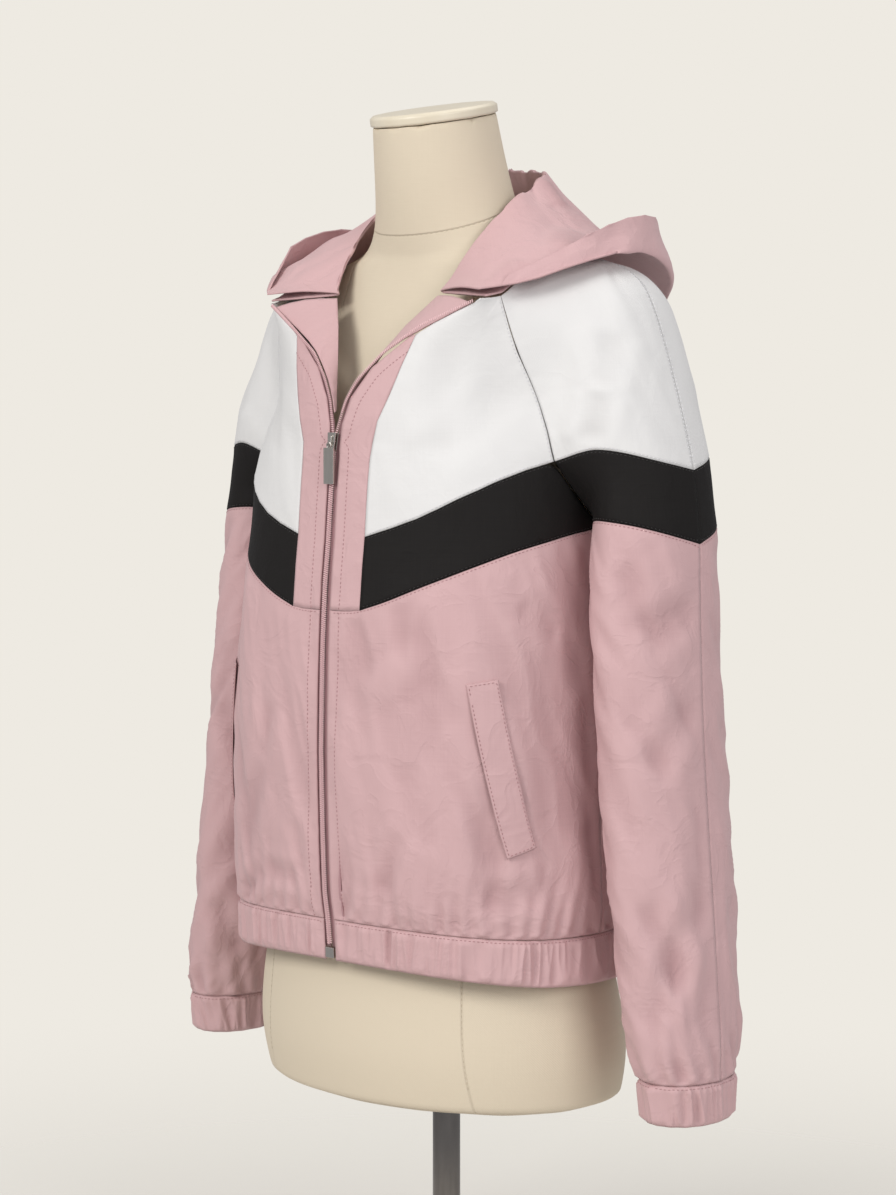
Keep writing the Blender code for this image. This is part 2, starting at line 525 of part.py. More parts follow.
def panel(name, surface, place, columns, rows, colour, mirrored=False, lift=0.0, thick=CLOTH, least_x=None):
    """A wall on a surface. place(i, j) gives the share and row of its points, i and j running from 0 to 1.

    least_x keeps a piece that ends at the middle on its own side of it.
    """
    outer, inner = [], []
    for i in np.linspace(0, 1, columns + 1):
        outer.append([])
        inner.append([])
        for j in np.linspace(0, 1, rows + 1):
            s, row = place(i, j)
            point = surface(s, row)
            normal = normal_of(PLAIN[surface], s, row)
            for skin, depth in ((outer, lift), (inner, lift - thick)):
                moved = point + normal * depth
                if least_x is not None:
                    moved[0] = max(moved[0], least_x)
                skin[-1].append(moved)
    return wall(name, outer, inner, colour, mirrored=mirrored)


def mix(a, b, t):
    """The value at t of the way from a to b."""
    return a + (b - a) * t


def share_gap(shape, s, row):
    """Half a seam's gap as a share of this row."""
    low, high = max(s - 0.01, -1.0 if shape in TWO_SIDED else 0.0), min(s + 0.01, 1.0)
    return SEAM_GAP / 2 * (high - low) / np.linalg.norm(shape(high, row) - shape(low, row))


def row_gap(shape, s, row):
    """Half a seam's gap as a part of a row."""
    low, high = max(row - 0.05, 0.0), min(row + 0.05, LAST_ROW[shape])
    return SEAM_GAP / 2 * (high - low) / np.linalg.norm(shape(s, high) - shape(s, low))


def region(shape, sides, ends, side_gaps=(1, 1), end_gaps=(1, 1), columns=None, rows=None):
    """The share and row of a point of a patch, from seams given as functions.

    sides are share(row) functions from left to right and ends are row(share) functions, each with one or more
    seams between them. columns and rows say how many steps lie between one seam and the next, so that a patch
    has its points where its neighbours have theirs. A gap of 0 leaves that edge where it is.
    """
    columns, rows = columns or [1] * (len(sides) - 1), rows or [1] * (len(ends) - 1)

    def split(t, steps):
        at = t * sum(steps)
        for k, count in enumerate(steps):
            if at <= count + 1e-9 or k == len(steps) - 1:
                return k, at / count
            at -= count
        return 0, 0.0

    def place(i, j):
        k, across = split(i, columns)
        m, upward = split(j, rows)
        s = 0.5
        row = mix(ends[m](s), ends[m + 1](s), upward)
        for _ in range(5):
            s = mix(sides[k](row), sides[k + 1](row), across)
            row = mix(ends[m](s), ends[m + 1](s), upward)
        if i in (0, 1):
            gap = share_gap(shape, s, row) * side_gaps[int(i)]
            s += gap if i == 0 else -gap
        if j in (0, 1):
            gap = row_gap(shape, s, row) * end_gaps[int(j)] * (1 if ends[-1](s) > ends[0](s) else -1)
            row += gap if j == 0 else -gap
        return s, row

    return place


def make_fronts():
    """Both fronts: placket strips, yokes, bands and lower panels."""
    edge = lambda row: between(EDGE_SHARES, row)
    placket = lambda row: between(PLACKET_SHARES, row)
    outer = lambda row: 1.0
    band_top = lambda s: between(FRONT_SEAMS["top"], s)
    band_bottom = lambda s: between(FRONT_SEAMS["bottom"], s)
    placket_top = lambda s: PLACKET_TOP
    neck = lambda s: TOP_ROW - 0.02
    hem = lambda s: 1.0
    shape = front_shape
    for side, mirrored in (("left", False), ("right", True)):
        place = region(shape, (edge, placket), (band_bottom, band_top, placket_top), (0, 1), (1, 0), rows=(2, 8))
        panel(f"placket_{side}", FRONT, place, 2, 10, "pink", mirrored)
        place = region(shape, (placket, outer), (band_top, placket_top, neck), rows=(8, 3))
        panel(f"front_yoke_{side}", FRONT, place, 10, 11, "white", mirrored)
        place = region(shape, (placket, outer), (band_bottom, band_top))
        panel(f"front_band_{side}", FRONT, place, 10, 2, "black", mirrored)
        place = region(shape, (edge, placket, outer), (hem, band_bottom), (0, 1), columns=(2, 10))
        panel(f"front_lower_{side}", FRONT, place, 12, 12, "pink", mirrored)
        make_zip_side(side, mirrored)


def make_zip_side(side, mirrored):
    """One side's zip tape under the panels' edge, and the facing that rolls over from the open zip."""
    tape_end = [(r / 4, front_share(r / 4, TAPE_WIDTH * (1 if r < 44 else 0.5))) for r in range(4 * TOP_ROW + 1)]
    start = [(r / 4, front_share(r / 4, 0.0007 if r < 42 else 0.0013)) for r in range(4 * TOP_ROW + 1)]
    sides = (lambda row: between(start, row)), (lambda row: between(tape_end, row))
    seams = (lambda s: between(FRONT_SEAMS["bottom"], s)), (lambda s: between(FRONT_SEAMS["top"], s))
    ends = (lambda s: 0.3, lambda s: 1.0, *seams, lambda s: PLACKET_TOP, lambda s: TOP_ROW - 0.12)
    place = region(front_shape, sides, ends, (0, 0), (0, 0), rows=(1, 12, 2, 8, 3))
    panel(f"zip_tape_{side}", FRONT, place, 2, 26, "zip_tape", mirrored, -CLOTH - 2 * SEAM_GAP, TAPE_THICKNESS)
    outer, inner = [], []
    for i in np.linspace(0, 1, 5):
        outer.append([])
        inner.append([])
        for row in np.linspace(10.7, 12.95, 11):
            normal = normal_of(front_shape, 0.02, row)
            start_point = front_shape(0.0, row) - normal * (CLOTH - 0.0004) - np.array([0.0014, 0.0, 0.0])
            run = roll_point(row) - start_point
            across = run / np.linalg.norm(run)
            around = front_shape(0.0, min(row + 0.1, TOP_ROW)) - front_shape(0.0, row - 0.1)
            lift = np.cross(around, across)
            lift /= np.linalg.norm(lift)
            point = start_point + run * i + lift * 0.06 * np.linalg.norm(run) * math.sin(math.pi * i)
            outer[-1].append(point)
            inner[-1].append(point - lift * FACING_THICKNESS)
    wall(f"facing_{side}", outer, inner, "pink", mirrored=mirrored)


def gather(turns, depth, flat_until=0.0):
    """The ripple of an elastic band: deepest away from its flat ends."""

    def ripple(i, j):
        fade = 1.0 if flat_until == 0 else min(max((min(i, 1 - i) - flat_until) / flat_until, 0.0), 1.0)
        uneven = 0.75 + 0.25 * math.sin(5.3 * i * turns / 4)
        return -depth * fade * uneven * (0.5 - 0.5 * math.cos(2 * math.pi * turns * i)) * (1 - 0.25 * math.sin(math.pi * j))

    return ripple


def make_pockets():
    """The stitched-down welt of each pocket, a flat strip just off the front."""
    upper_in, upper_out, lower_out, lower_in = (np.array(c) for c in WELT_CORNERS)
    for side, mirrored in (("left", False), ("right", True)):

        def place(i, j):
            return tuple(mix(mix(lower_in, lower_out, i), mix(upper_in, upper_out, i), j))

        panel(
            f"pocket_welt_{side}", FRONT, place, 3, 12, "pink", mirrored,
            WELT_LIFT + WELT_THICKNESS, WELT_THICKNESS,
        )


def box(name, size, centre, colour, tilt=0.0, bevel=0.0006):
    """A bevelled box turned about X by tilt, centred on a point."""
    mesh = bmesh.new()
    bmesh.ops.create_cube(mesh, size=1.0)
    bmesh.ops.scale(mesh, verts=mesh.verts, vec=size)
    if bevel:
        bmesh.ops.bevel(
            mesh, geom=list(mesh.edges), offset=bevel, segments=1, affect="EDGES", profile=0.5, material=-1,
        )
    turn = Matrix.Rotation(tilt, 4, "X")
    bmesh.ops.transform(mesh, matrix=Matrix.Translation(centre) @ turn, verts=mesh.verts)
    return add_object(name, mesh, colour, centre) if name else mesh


def joined(name, pieces, colour, origin):
    """One closed solid from overlapping closed meshes, by exact unions."""
    bodies = [add_object(f"{name}_{k}", piece, colour) for k, piece in enumerate(pieces)]
    for other in bodies[1:]:
        union = bodies[0].modifiers.new("union", "BOOLEAN")
        union.operation = "UNION"
        union.solver = "EXACT"
        union.object = other
    bpy.context.view_layer.update()
    whole = bmesh.new()
    whole.from_object(bodies[0], bpy.context.evaluated_depsgraph_get())
    for body in bodies:
        bpy.data.objects.remove(body, do_unlink=True)
    return add_object(name, whole, colour, origin)


def rod(radius, length, centre, axis="X", segments=12):
    """A plain cylinder mesh along X or Z, centred on a point."""
    mesh = bmesh.new()
    bmesh.ops.create_cone(mesh, cap_ends=True, segments=segments, radius1=radius, radius2=radius, depth=length)
    turn = Matrix.Rotation(math.pi / 2, 4, "Y") if axis == "X" else Matrix.Identity(4)
    bmesh.ops.transform(mesh, matrix=Matrix.Translation(centre) @ turn, verts=mesh.verts)
    return mesh


def make_zip_hardware():
    """The slider with its two ears, the pull tab that turns between them, and the bottom stop."""
    tilt = math.atan2(0.0020, 0.0190)
    front = front_shape(0.0, SLIDER_ROW - 0.15)[1] + CLOTH + SEAM_GAP
    middle_y = front - 0.0004 - SLIDER_SIZE[1] / 2
    body = box("", SLIDER_SIZE, (0.0, middle_y, SLIDER_HEIGHT), "nickel", -tilt)
    face = middle_y - SLIDER_SIZE[1] / 2
    ears = [
        box("", (0.0010, face - HINGE_Y + 0.0030, 0.0034), (x, (face + HINGE_Y) / 2 + 0.0001, HINGE_Z), "nickel", 0.0, 0.0)
        for x in (-0.0031, 0.0031)
    ]
    joined("zip_slider", [body] + ears, "nickel", (0.0, middle_y, SLIDER_HEIGHT))
    barrel = rod(0.0012, 0.0046, (0.0, HINGE_Y, HINGE_Z))
    lean = math.atan2(0.0016, 0.0260)
    link = box("", (0.0034, 0.0013, 0.0085), (0.0, HINGE_Y - 0.0003, HINGE_Z - 0.0042), "nickel", -lean, 0.0)
    tab_centre = (0.0, HINGE_Y - 0.0010, HINGE_Z - 0.0075 - PULL_SIZE[2] / 2)
    tab = box("", PULL_SIZE, tab_centre, "nickel", -lean, 0.0006)
    joined("zip_pull", [barrel, link, tab], "nickel", (0.0, HINGE_Y, HINGE_Z))
    low = front_shape(0.0, 0.15)
    box("zip_stop", (0.0086, 0.0042, 0.0080), (0.0, low[1] + 0.0012, 0.3704), "nickel", 0.0, 0.0006)


def make_back():
    """The back: yoke, band and lower panel, each in one piece across."""
    right = lambda row: -1.0
    left = lambda row: 1.0
    band_top = lambda s: between(BACK_SEAMS["top"], s)
    band_bottom = lambda s: between(BACK_SEAMS["bottom"], s)
    neck = lambda s: TOP_ROW - 0.02
    hem = lambda s: 1.0
    panel("back_yoke", BACK, region(back_shape, (right, left), (band_top, neck)), 20, 8, "white")
    panel("back_band", BACK, region(back_shape, (right, left), (band_bottom, band_top)), 20, 2, "black")
    panel("back_lower", BACK, region(back_shape, (right, left), (hem, band_bottom)), 20, 12, "pink")


def make_hem():
    """The elastic hem, one band from zip round the back to zip."""
    edge_share = between(EDGE_SHARES, 0.5)
    front_run, back_run = 0.245, 0.215
    total = 2 * (front_run + back_run)
    ripple = gather(HEM_GATHERS, GATHER_DEPTH, 0.03)
    outer, inner = [], []
    columns = HEM_GATHERS * 3
    for i in range(columns + 1):
        travel = total * i / columns
        left = travel <= total / 2
        reach = travel if left else total - travel
        if reach < front_run:
            shape, s = front_shape, mix(edge_share, 1.0, reach / front_run)
        else:
            shape, s = back_shape, mix(1.0, 0.0, (reach - front_run) / back_run)
        outer.append([])
        inner.append([])
        for j in np.linspace(0, 1, 3):
            row = j * (1 - row_gap(shape, s, 1.0))
            point = shape(s, row) + normal_of(shape, s, row) * ripple(i / columns, j)
            flip = np.ones(3) if left else MIRROR
            outer[-1].append(point * flip)
            inner[-1].append((point - normal_of(shape, s, row) * CLOTH) * flip)
    wall("hem_band", outer, inner, "pink")


def make_sleeves():
    """Both raglan sleeves: upper pieces, bands and lower pieces, each a front and a back half, and the cuffs."""
    neck = lambda s: 0.02
    top = lambda s: between(SLEEVE_SEAMS["top"], s)
    bottom = lambda s: between(SLEEVE_SEAMS["bottom"], s)
    cuff = lambda s: CUFF_ROW
    shape = sleeve_shape
    for side, mirrored in (("left", False), ("right", True)):
        for half, low, high in (("front", 0.0, 1.0), ("back", -1.0, 0.0)):
            sides = (lambda r, a=low: a), (lambda r, b=high: b)
            upper_rows = (3, 8) if half == "front" else (8,)
            upper_ends = (neck, (lambda s: TOP_ROW - PLACKET_TOP), top) if half == "front" else (neck, top)
            place = region(shape, sides, upper_ends, rows=upper_rows)
            panel(f"sleeve_upper_{half}_{side}", SLEEVE, place, 8, sum(upper_rows), "white", mirrored)
            panel(f"sleeve_band_{half}_{side}", SLEEVE, region(shape, sides, (top, bottom)), 8, 2, "black", mirrored)
            panel(f"sleeve_lower_{half}_{side}", SLEEVE, region(shape, sides, (bottom, cuff)), 8, 12, "pink", mirrored)
        make_cuff(side, mirrored)


def make_cuff(side, mirrored):
    """A closed elastic cuff, gathered all round."""
    ripple = gather(CUFF_GATHERS, CUFF_GATHER_DEPTH)
    outer, inner = [], []
    columns = CUFF_GATHERS * 3
    for i in range(columns):
        s = mix(-1.0, 1.0, i / columns)
        outer.append([])
        inner.append([])
        for j in np.linspace(0, 1, 3):
            row = mix(CUFF_ROW + row_gap(sleeve_shape, s, CUFF_ROW), SLEEVE_END, j)
            normal = normal_of(sleeve_shape, s, row)
            point = sleeve_shape(s, row) + normal * ripple(i / columns, j)
            outer[-1].append(point)
            inner[-1].append(point - normal * CLOTH)
    wall(f"cuff_{side}", outer, inner, "pink", ring=True, mirrored=mirrored)


def make_hood():
    """The hood in two halves, lying open on the shoulders."""
    for side, mirrored in (("left", False), ("right", True)):
        place = lambda i, j: (i, mix(0.0, HOOD_END - SEAM_GAP / 2 / 0.045, j))
        panel(f"hood_{side}", HOOD, place, 20, 14, "pink", mirrored, least_x=SEAM_GAP / 2)


def clear_scene():
    """Removes what the scene holds."""
    for old in list(bpy.data.objects):
        bpy.data.objects.remove(old, do_unlink=True)


def form_ring(ring, count):
    """The points of one ring of the dress form."""
    middle = (ring.back - ring.front) / 2
    depth = (ring.back + ring.front) / 2
    points = []
    for i in range(count):
        angle = 2 * math.pi * i / count
        y = middle + depth * math.sin(angle)
        points.append((ring.half_width * math.cos(angle), y, ring.z + ring.lean * (y - middle)))
    return points


def skin_rings(name, rings, colour):
    """A closed solid through rings of equal count, capped flat at both ends."""
    mesh = bmesh.new()
    loops = [[mesh.verts.new(p) for p in ring] for ring in rings]
    count = len(loops[0])
    for low, high in zip(loops, loops[1:]):
        for i in range(count):
            k = (i + 1) % count
            mesh.faces.new([low[i], low[k], high[k], high[i]])
    mesh.faces.new(loops[0][::-1])
    mesh.faces.new(loops[-1])
    return add_object(name, mesh, colour)


def make_form():
    """The limbless dress form with its neck cap, pole and base."""
    count = 28
    skin_rings("form_torso", [form_ring(r, count) for r in FORM_RINGS], "form_cloth")
    top = FORM_RINGS[-1]
    tilt = math.atan(top.lean)
    rise = np.array([0.0, -math.sin(tilt), math.cos(tilt)])
    rings = []
    for lift, grow in ((SEAM_GAP, -0.0005), (0.0015, CAP_OVERHANG), (CAP_THICKNESS - 0.002, CAP_OVERHANG), (CAP_THICKNESS, -0.001)):
        ring = top._replace(half_width=top.half_width + grow, front=top.front + grow, back=top.back + grow)
        rings.append([tuple(np.array(p) + rise * lift) for p in form_ring(ring, count)])
    skin_rings("neck_cap", rings, "cap_paint")
    for name, radius, low, high, colour in (
        ("pole", POLE_RADIUS, BASE_HEIGHT + SEAM_GAP, FORM_BOTTOM - SEAM_GAP, "steel"),
    ):
        mesh = bmesh.new()
        bmesh.ops.create_cone(mesh, cap_ends=True, segments=20, radius1=radius, radius2=radius, depth=high - low)
        bmesh.ops.translate(mesh, verts=mesh.verts, vec=(0, 0, (high + low) / 2))
        add_object(name, mesh, colour)
    disc = [
        [(r * math.cos(2 * math.pi * i / 40), r * math.sin(2 * math.pi * i / 40), z) for i in range(40)]
        for r, z in ((BASE_RADIUS - 0.001, 0.0), (BASE_RADIUS, 0.001), (BASE_RADIUS, BASE_HEIGHT - 0.003), (BASE_RADIUS - 0.004, BASE_HEIGHT))
    ]
    skin_rings("base", disc, "steel")


def main():
    """Builds the whole part."""
    clear_scene()
    make_fronts()
    make_pockets()
    make_zip_hardware()
    make_back()
    make_hem()
    make_sleeves()
    make_hood()
    make_form()


main()
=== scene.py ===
"""Dresses the windbreaker jacket and its dress form: cloth, seams, zip, stand, lights and camera."""
import sys
import logging
import math
from dataclasses import dataclass
from enum import Enum
from typing import Iterable, Iterator, Sequence

import bmesh
import bpy
import numpy as np
from mathutils import Matrix, Vector, kdtree, noise
from mathutils.bvhtree import BVHTree


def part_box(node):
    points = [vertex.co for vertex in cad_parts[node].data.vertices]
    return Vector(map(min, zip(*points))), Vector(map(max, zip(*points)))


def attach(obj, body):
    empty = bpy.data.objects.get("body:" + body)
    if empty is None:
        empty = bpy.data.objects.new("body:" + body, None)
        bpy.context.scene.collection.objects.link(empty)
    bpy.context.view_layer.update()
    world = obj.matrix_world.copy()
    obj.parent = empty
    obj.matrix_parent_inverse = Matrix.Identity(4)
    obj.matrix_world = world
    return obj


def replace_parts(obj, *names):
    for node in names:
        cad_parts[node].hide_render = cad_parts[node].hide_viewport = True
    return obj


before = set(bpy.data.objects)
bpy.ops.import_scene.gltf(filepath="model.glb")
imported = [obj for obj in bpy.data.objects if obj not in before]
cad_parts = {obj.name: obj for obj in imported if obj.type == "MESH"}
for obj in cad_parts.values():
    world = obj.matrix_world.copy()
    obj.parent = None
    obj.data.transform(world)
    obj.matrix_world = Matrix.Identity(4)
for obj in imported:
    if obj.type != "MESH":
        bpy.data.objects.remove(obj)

LOG = logging.getLogger("jacket")
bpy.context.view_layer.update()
BODY = "jacket_and_form"
TAB = "pull_tab"

Colour = tuple[float, float, float]
Point = tuple[float, float, float]
Socket = bpy.types.NodeSocket
Line = list[tuple[Vector, Vector]]


class Side(Enum):
    """The wearer's side that a piece is on."""

    LEFT = "left"
    RIGHT = "right"

    @property
    def sign(self) -> float:
        """The sign of X on this side."""
        return 1.0 if self is Side.LEFT else -1.0


# Shared shading


class Wiring:
    """A node tree, with short ways to add the nodes that the finishes use."""

    def __init__(self, tree: bpy.types.NodeTree) -> None:
        """Takes the tree that the nodes go in."""
        self.tree = tree

    def _feed(self, socket: Socket, value: object) -> None:
        """Gives one input a plain value, or links an output socket to it."""
        if isinstance(value, Socket):
            self.tree.links.new(value, socket)
        else:
            socket.default_value = value

    def fill(self, node: bpy.types.Node, values: dict[str, object]) -> None:
        """Sets a node's inputs.

        Args:
            node: the node.
            values: a plain value, or the output socket to link, for each named input.
        """
        for name, value in values.items():
            self._feed(node.inputs[name], value)

    def add(self, kind: str, **values: object) -> bpy.types.Node:
        """Adds a node.

        Args:
            kind: its type, without the ShaderNode that stands in front.
            values: what its inputs get, by name.

        Returns:
            The new node.
        """
        node = self.tree.nodes.new("ShaderNode" + kind)
        self.fill(node, values)
        return node

    def shared(self, group: bpy.types.NodeTree, **values: object) -> bpy.types.Node:
        """Places a shared group, with its own values."""
        node = self.add("Group")
        node.node_tree = group
        self.fill(node, values)
        return node

    def maths(self, operation: str, *values: object) -> Socket:
        """Adds a Math node.

        Args:
            operation: Blender's name of the operation.
            values: numbers or output sockets for its inputs, in order.

        Returns:
            Its output socket.
        """
        node = self.add("Math")
        node.operation = operation
        for socket, value in zip(node.inputs, values):
            self._feed(socket, value)
        return node.outputs[0]

    def clamped(self, value: Socket) -> Socket:
        """Holds a value between 0 and 1."""
        return self.maths("MINIMUM", self.maths("MAXIMUM", value, 0.0), 1.0)

    def around_zero(self, value: Socket, spread: float) -> Socket:
        """Moves a value that lies around one half to around 0, and widens it."""
        return self.maths("MULTIPLY", self.maths("SUBTRACT", value, 0.5), spread)

    def mean(self, first: Socket, second: Socket) -> Socket:
        """The mean of two values."""
        return self.maths("MULTIPLY", self.maths("ADD", first, second), 0.5)

    def noise(self, vector: Socket, scale: object, detail: float = 2.0, distortion: float = 0.0) -> Socket:
        """Adds a smooth noise, and gives its value."""
        return self.add("TexNoise", Vector=vector, Scale=scale, Detail=detail, Distortion=distortion).outputs[0]

    def stretched(self, vector: Socket, scale: Point) -> Socket:
        """Scales a vector along each axis."""
        return self.add("Mapping", Vector=vector, Scale=scale).outputs[0]

    def bumped(self, height: Socket, depth: float, under: Socket | None = None) -> Socket:
        """Turns a height into a normal, over another normal where one is given."""
        node = self.add("Bump", Height=height, Distance=depth)
        if under is not None:
            self.fill(node, {"Normal": under})
        return node.outputs[0]

    def mixed(self, share: Socket, first: Colour, second: Colour) -> Socket:
        """Mixes two colours by how much of the second shows."""
        node = self.add("Mix")
        node.data_type = "RGBA"
        self.fill(node, {"Factor": share})
        for name, colour in (("A", first), ("B", second)):
            socket = next(s for s in node.inputs if s.name == name and s.type == "RGBA")
            socket.default_value = (*colour, 1.0)
        return next(s for s in node.outputs if s.type == "RGBA")


class Shading:
    """The node groups that several finishes use, each built once."""

    def __init__(self) -> None:
        """Builds the groups."""
        self.weave = self._weave()
        self.crumple = self._crumple()
        self.brushed = self._brushed()

    @staticmethod
    def _group(name: str, **numbers: float) -> tuple[Wiring, bpy.types.Node]:
        """Starts a group that reads a Vector and some numbers, and puts out a Height and a Tone.

        Args:
            name: the group's name.
            numbers: its other inputs, with their usual values.

        Returns:
            Its wiring, and the node that its inputs come from.
        """
        tree = bpy.data.node_groups.new(name, "ShaderNodeTree")
        tree.interface.new_socket(name="Vector", in_out="INPUT", socket_type="NodeSocketVector")
        for label, value in numbers.items():
            socket = tree.interface.new_socket(name=label, in_out="INPUT", socket_type="NodeSocketFloat")
            socket.default_value = value
        for label in ("Height", "Tone"):
            tree.interface.new_socket(name=label, in_out="OUTPUT", socket_type="NodeSocketFloat")
        return Wiring(tree), tree.nodes.new("NodeGroupInput")

    @staticmethod
    def _finished(wires: Wiring, height: Socket, tone: Socket) -> bpy.types.NodeTree:
        """Links a group's two outputs, and gives its tree."""
        wires.fill(wires.tree.nodes.new("NodeGroupOutput"), {"Height": height, "Tone": tone})
        return wires.tree

    def _weave(self) -> bpy.types.NodeTree:
        """A plain weave with uneven threads: its height and its tone."""
        wires, given = self._group("woven_threads", Thread=0.0006, Slub=0.4)
        maths, place = wires.maths, given.outputs["Vector"]
        parts = wires.add("SeparateXYZ", Vector=place)
        turns = maths("DIVIDE", math.pi, given.outputs["Thread"])
        warp, weft = (maths("SINE", maths("MULTIPLY", parts.outputs[k], turns)) for k in (0, 1))
        rows = maths("MULTIPLY", maths("ABSOLUTE", warp), 0.5)
        height = maths("MULTIPLY_ADD", maths("MULTIPLY", warp, weft), 0.35, rows)
        tone = wires.mean(*(wires.noise(wires.stretched(place, way), 1.0) for way in ((22, 900, 22), (900, 22, 22))))
        return self._finished(wires, maths("MULTIPLY_ADD", tone, given.outputs["Slub"], height), tone)

    def _crumple(self) -> bpy.types.NodeTree:
        """The soft handling creases of thin cloth: height, and a slow mottling."""
        wires, given = self._group("handled_cloth", Size=0.03)
        maths, place = wires.maths, given.outputs["Vector"]
        rate = maths("DIVIDE", 1.0, given.outputs["Size"])
        soft = wires.noise(place, rate, 3.0, 0.8)
        ridge = maths("ABSOLUTE", maths("SUBTRACT", soft, 0.5))
        crisp = maths("SUBTRACT", 1.0, maths("MULTIPLY", maths("POWER", ridge, 0.6), 1.6))
        height = maths("MULTIPLY_ADD", crisp, 0.5, maths("MULTIPLY", soft, 0.8))
        return self._finished(wires, height, wires.noise(place, maths("MULTIPLY", rate, 0.35), 1.0))

    def _brushed(self) -> bpy.types.NodeTree:
        """Fine scratches and handling marks on metal or paint."""
        wires, given = self._group("handled_metal", Grain=400.0)
        place = given.outputs["Vector"]
        fine = wires.noise(wires.stretched(place, (1.0, 1.0, 0.08)), given.outputs["Grain"], 4.0)
        return self._finished(wires, fine, wires.mean(fine, wires.noise(place, 26.0, 3.0)))


# Finishes

# How much painted shade the folds and the pieces' sewn edges give cloth (and painted light on ridges), how much the
# threads darken it, how much painted shade a pressed seam's groove gives, and how much roughness varies.
HOLLOW_SHADE = 0.75
THREAD_SHADE = 0.40
SEAM_SHADE = 0.22
ROUGH_SPREAD = 0.16
# A pressed seam of the form's cover, in metres.
SEAM_WIDTH = 0.0011
SEAM_DEPTH = 0.0006
# A pressed seam runs where a|X| + bY + cZ = d, with the four numbers in that order.
Seam = tuple[float, float, float, float]
SIDE_SEAM: Seam = (1.0, 0.0, 0.06, 0.118)
NECK_SEAM: Seam = (0.0, -0.36, 1.0, 0.9264)


def new_material(name: str) -> tuple[bpy.types.Material, Wiring, bpy.types.Node]:
    """Makes a material, and gives it with its wiring and its shader."""
    material = bpy.data.materials.new(name)
    material.use_nodes = True
    return material, Wiring(material.node_tree), material.node_tree.nodes["Principled BSDF"]


@dataclass(frozen=True)
class ClothFinish:
    """Woven cloth: its colours, threads and creases, with painted shade in its folds and seams and painted light on its
    ridges.
    """

    name: str
    slot: str
    colour: Colour
    # shade: the darker colour that the threads' and the mottle's own tones mix towards, and also the painted shade of
    # folds, edges and pressed seams.
    shade: Colour
    roughness: float = 0.62
    thread: float = 0.0006
    weave_depth: float = 0.00005
    crumple_size: float = 0.035
    crumple_depth: float = 0.0007
    sheen: float = 0.12
    mottle: float = 0.10
    seams: tuple[Seam, ...] = ()

    def _groove(self, wires: Wiring, place: Socket) -> Socket | None:
        """Gives a mask of the pressed seams, or None where the cloth has none."""
        groove = None
        for x, y, z, level in self.seams:
            maths = wires.maths
            parts = wires.add("SeparateXYZ", Vector=place)
            value = maths("MULTIPLY", maths("ABSOLUTE", parts.outputs[0]), x)
            value = maths("MULTIPLY_ADD", parts.outputs[1], y, value)
            value = maths("MULTIPLY_ADD", parts.outputs[2], z, value)
            away = maths("DIVIDE", maths("ABSOLUTE", maths("SUBTRACT", value, level)), SEAM_WIDTH)
            line = maths("MAXIMUM", maths("SUBTRACT", 1.0, away), 0.0)
            groove = line if groove is None else maths("MAXIMUM", groove, line)
        return groove

    def material(self, shading: Shading) -> bpy.types.Material:
        """Builds the cloth's material.

        Args:
            shading: the shared node groups.

        Returns:
            The material.
        """
        known = bpy.data.materials.get(self.name)
        if known:
            return known
        material, wires, shader = new_material(self.name)
        maths = wires.maths
        run = wires.add("UVMap")
        run.uv_map = "cloth"
        place = wires.add("TexCoord").outputs["Object"]
        weave = wires.shared(shading.weave, Vector=run.outputs[0], Thread=self.thread)
        crumple = wires.shared(shading.crumple, Vector=place, Size=self.crumple_size)
        # The painted light and shade of the folds and edges, read from a point attribute: it darkens the colour towards
        # shade in troughs and along edges, and lightens ridges.
        painted_light_and_shade = wires.add("Attribute")
        painted_light_and_shade.attribute_name = "painted_light_and_shade"
        slow = wires.around_zero(crumple.outputs["Tone"], self.mottle * 6)
        fine = wires.around_zero(weave.outputs["Tone"], THREAD_SHADE)
        dark = maths("MULTIPLY_ADD", painted_light_and_shade.outputs["Fac"], HOLLOW_SHADE, maths("ADD", slow, fine))
        normal = wires.bumped(weave.outputs["Height"], self.weave_depth)
        normal = wires.bumped(crumple.outputs["Height"], self.crumple_depth, normal)
        groove = self._groove(wires, place)
        if groove is not None:
            # Painted shade along each pressed seam's groove, beside the bump that gives its dip.
            dark = maths("MULTIPLY_ADD", groove, SEAM_SHADE, dark)
            normal = wires.bumped(maths("SUBTRACT", 1.0, groove), SEAM_DEPTH, normal)
        smoothest = self.roughness - ROUGH_SPREAD / 2
        wires.fill(shader, {
            "Base Color": wires.mixed(wires.clamped(dark), self.colour, self.shade),
            "Roughness": maths("MULTIPLY_ADD", weave.outputs["Tone"], ROUGH_SPREAD, smoothest),
            "Normal": normal,
            "Sheen Weight": self.sheen,
            "Sheen Roughness": 0.45,
            "Specular IOR Level": 0.25,
        })
        return material


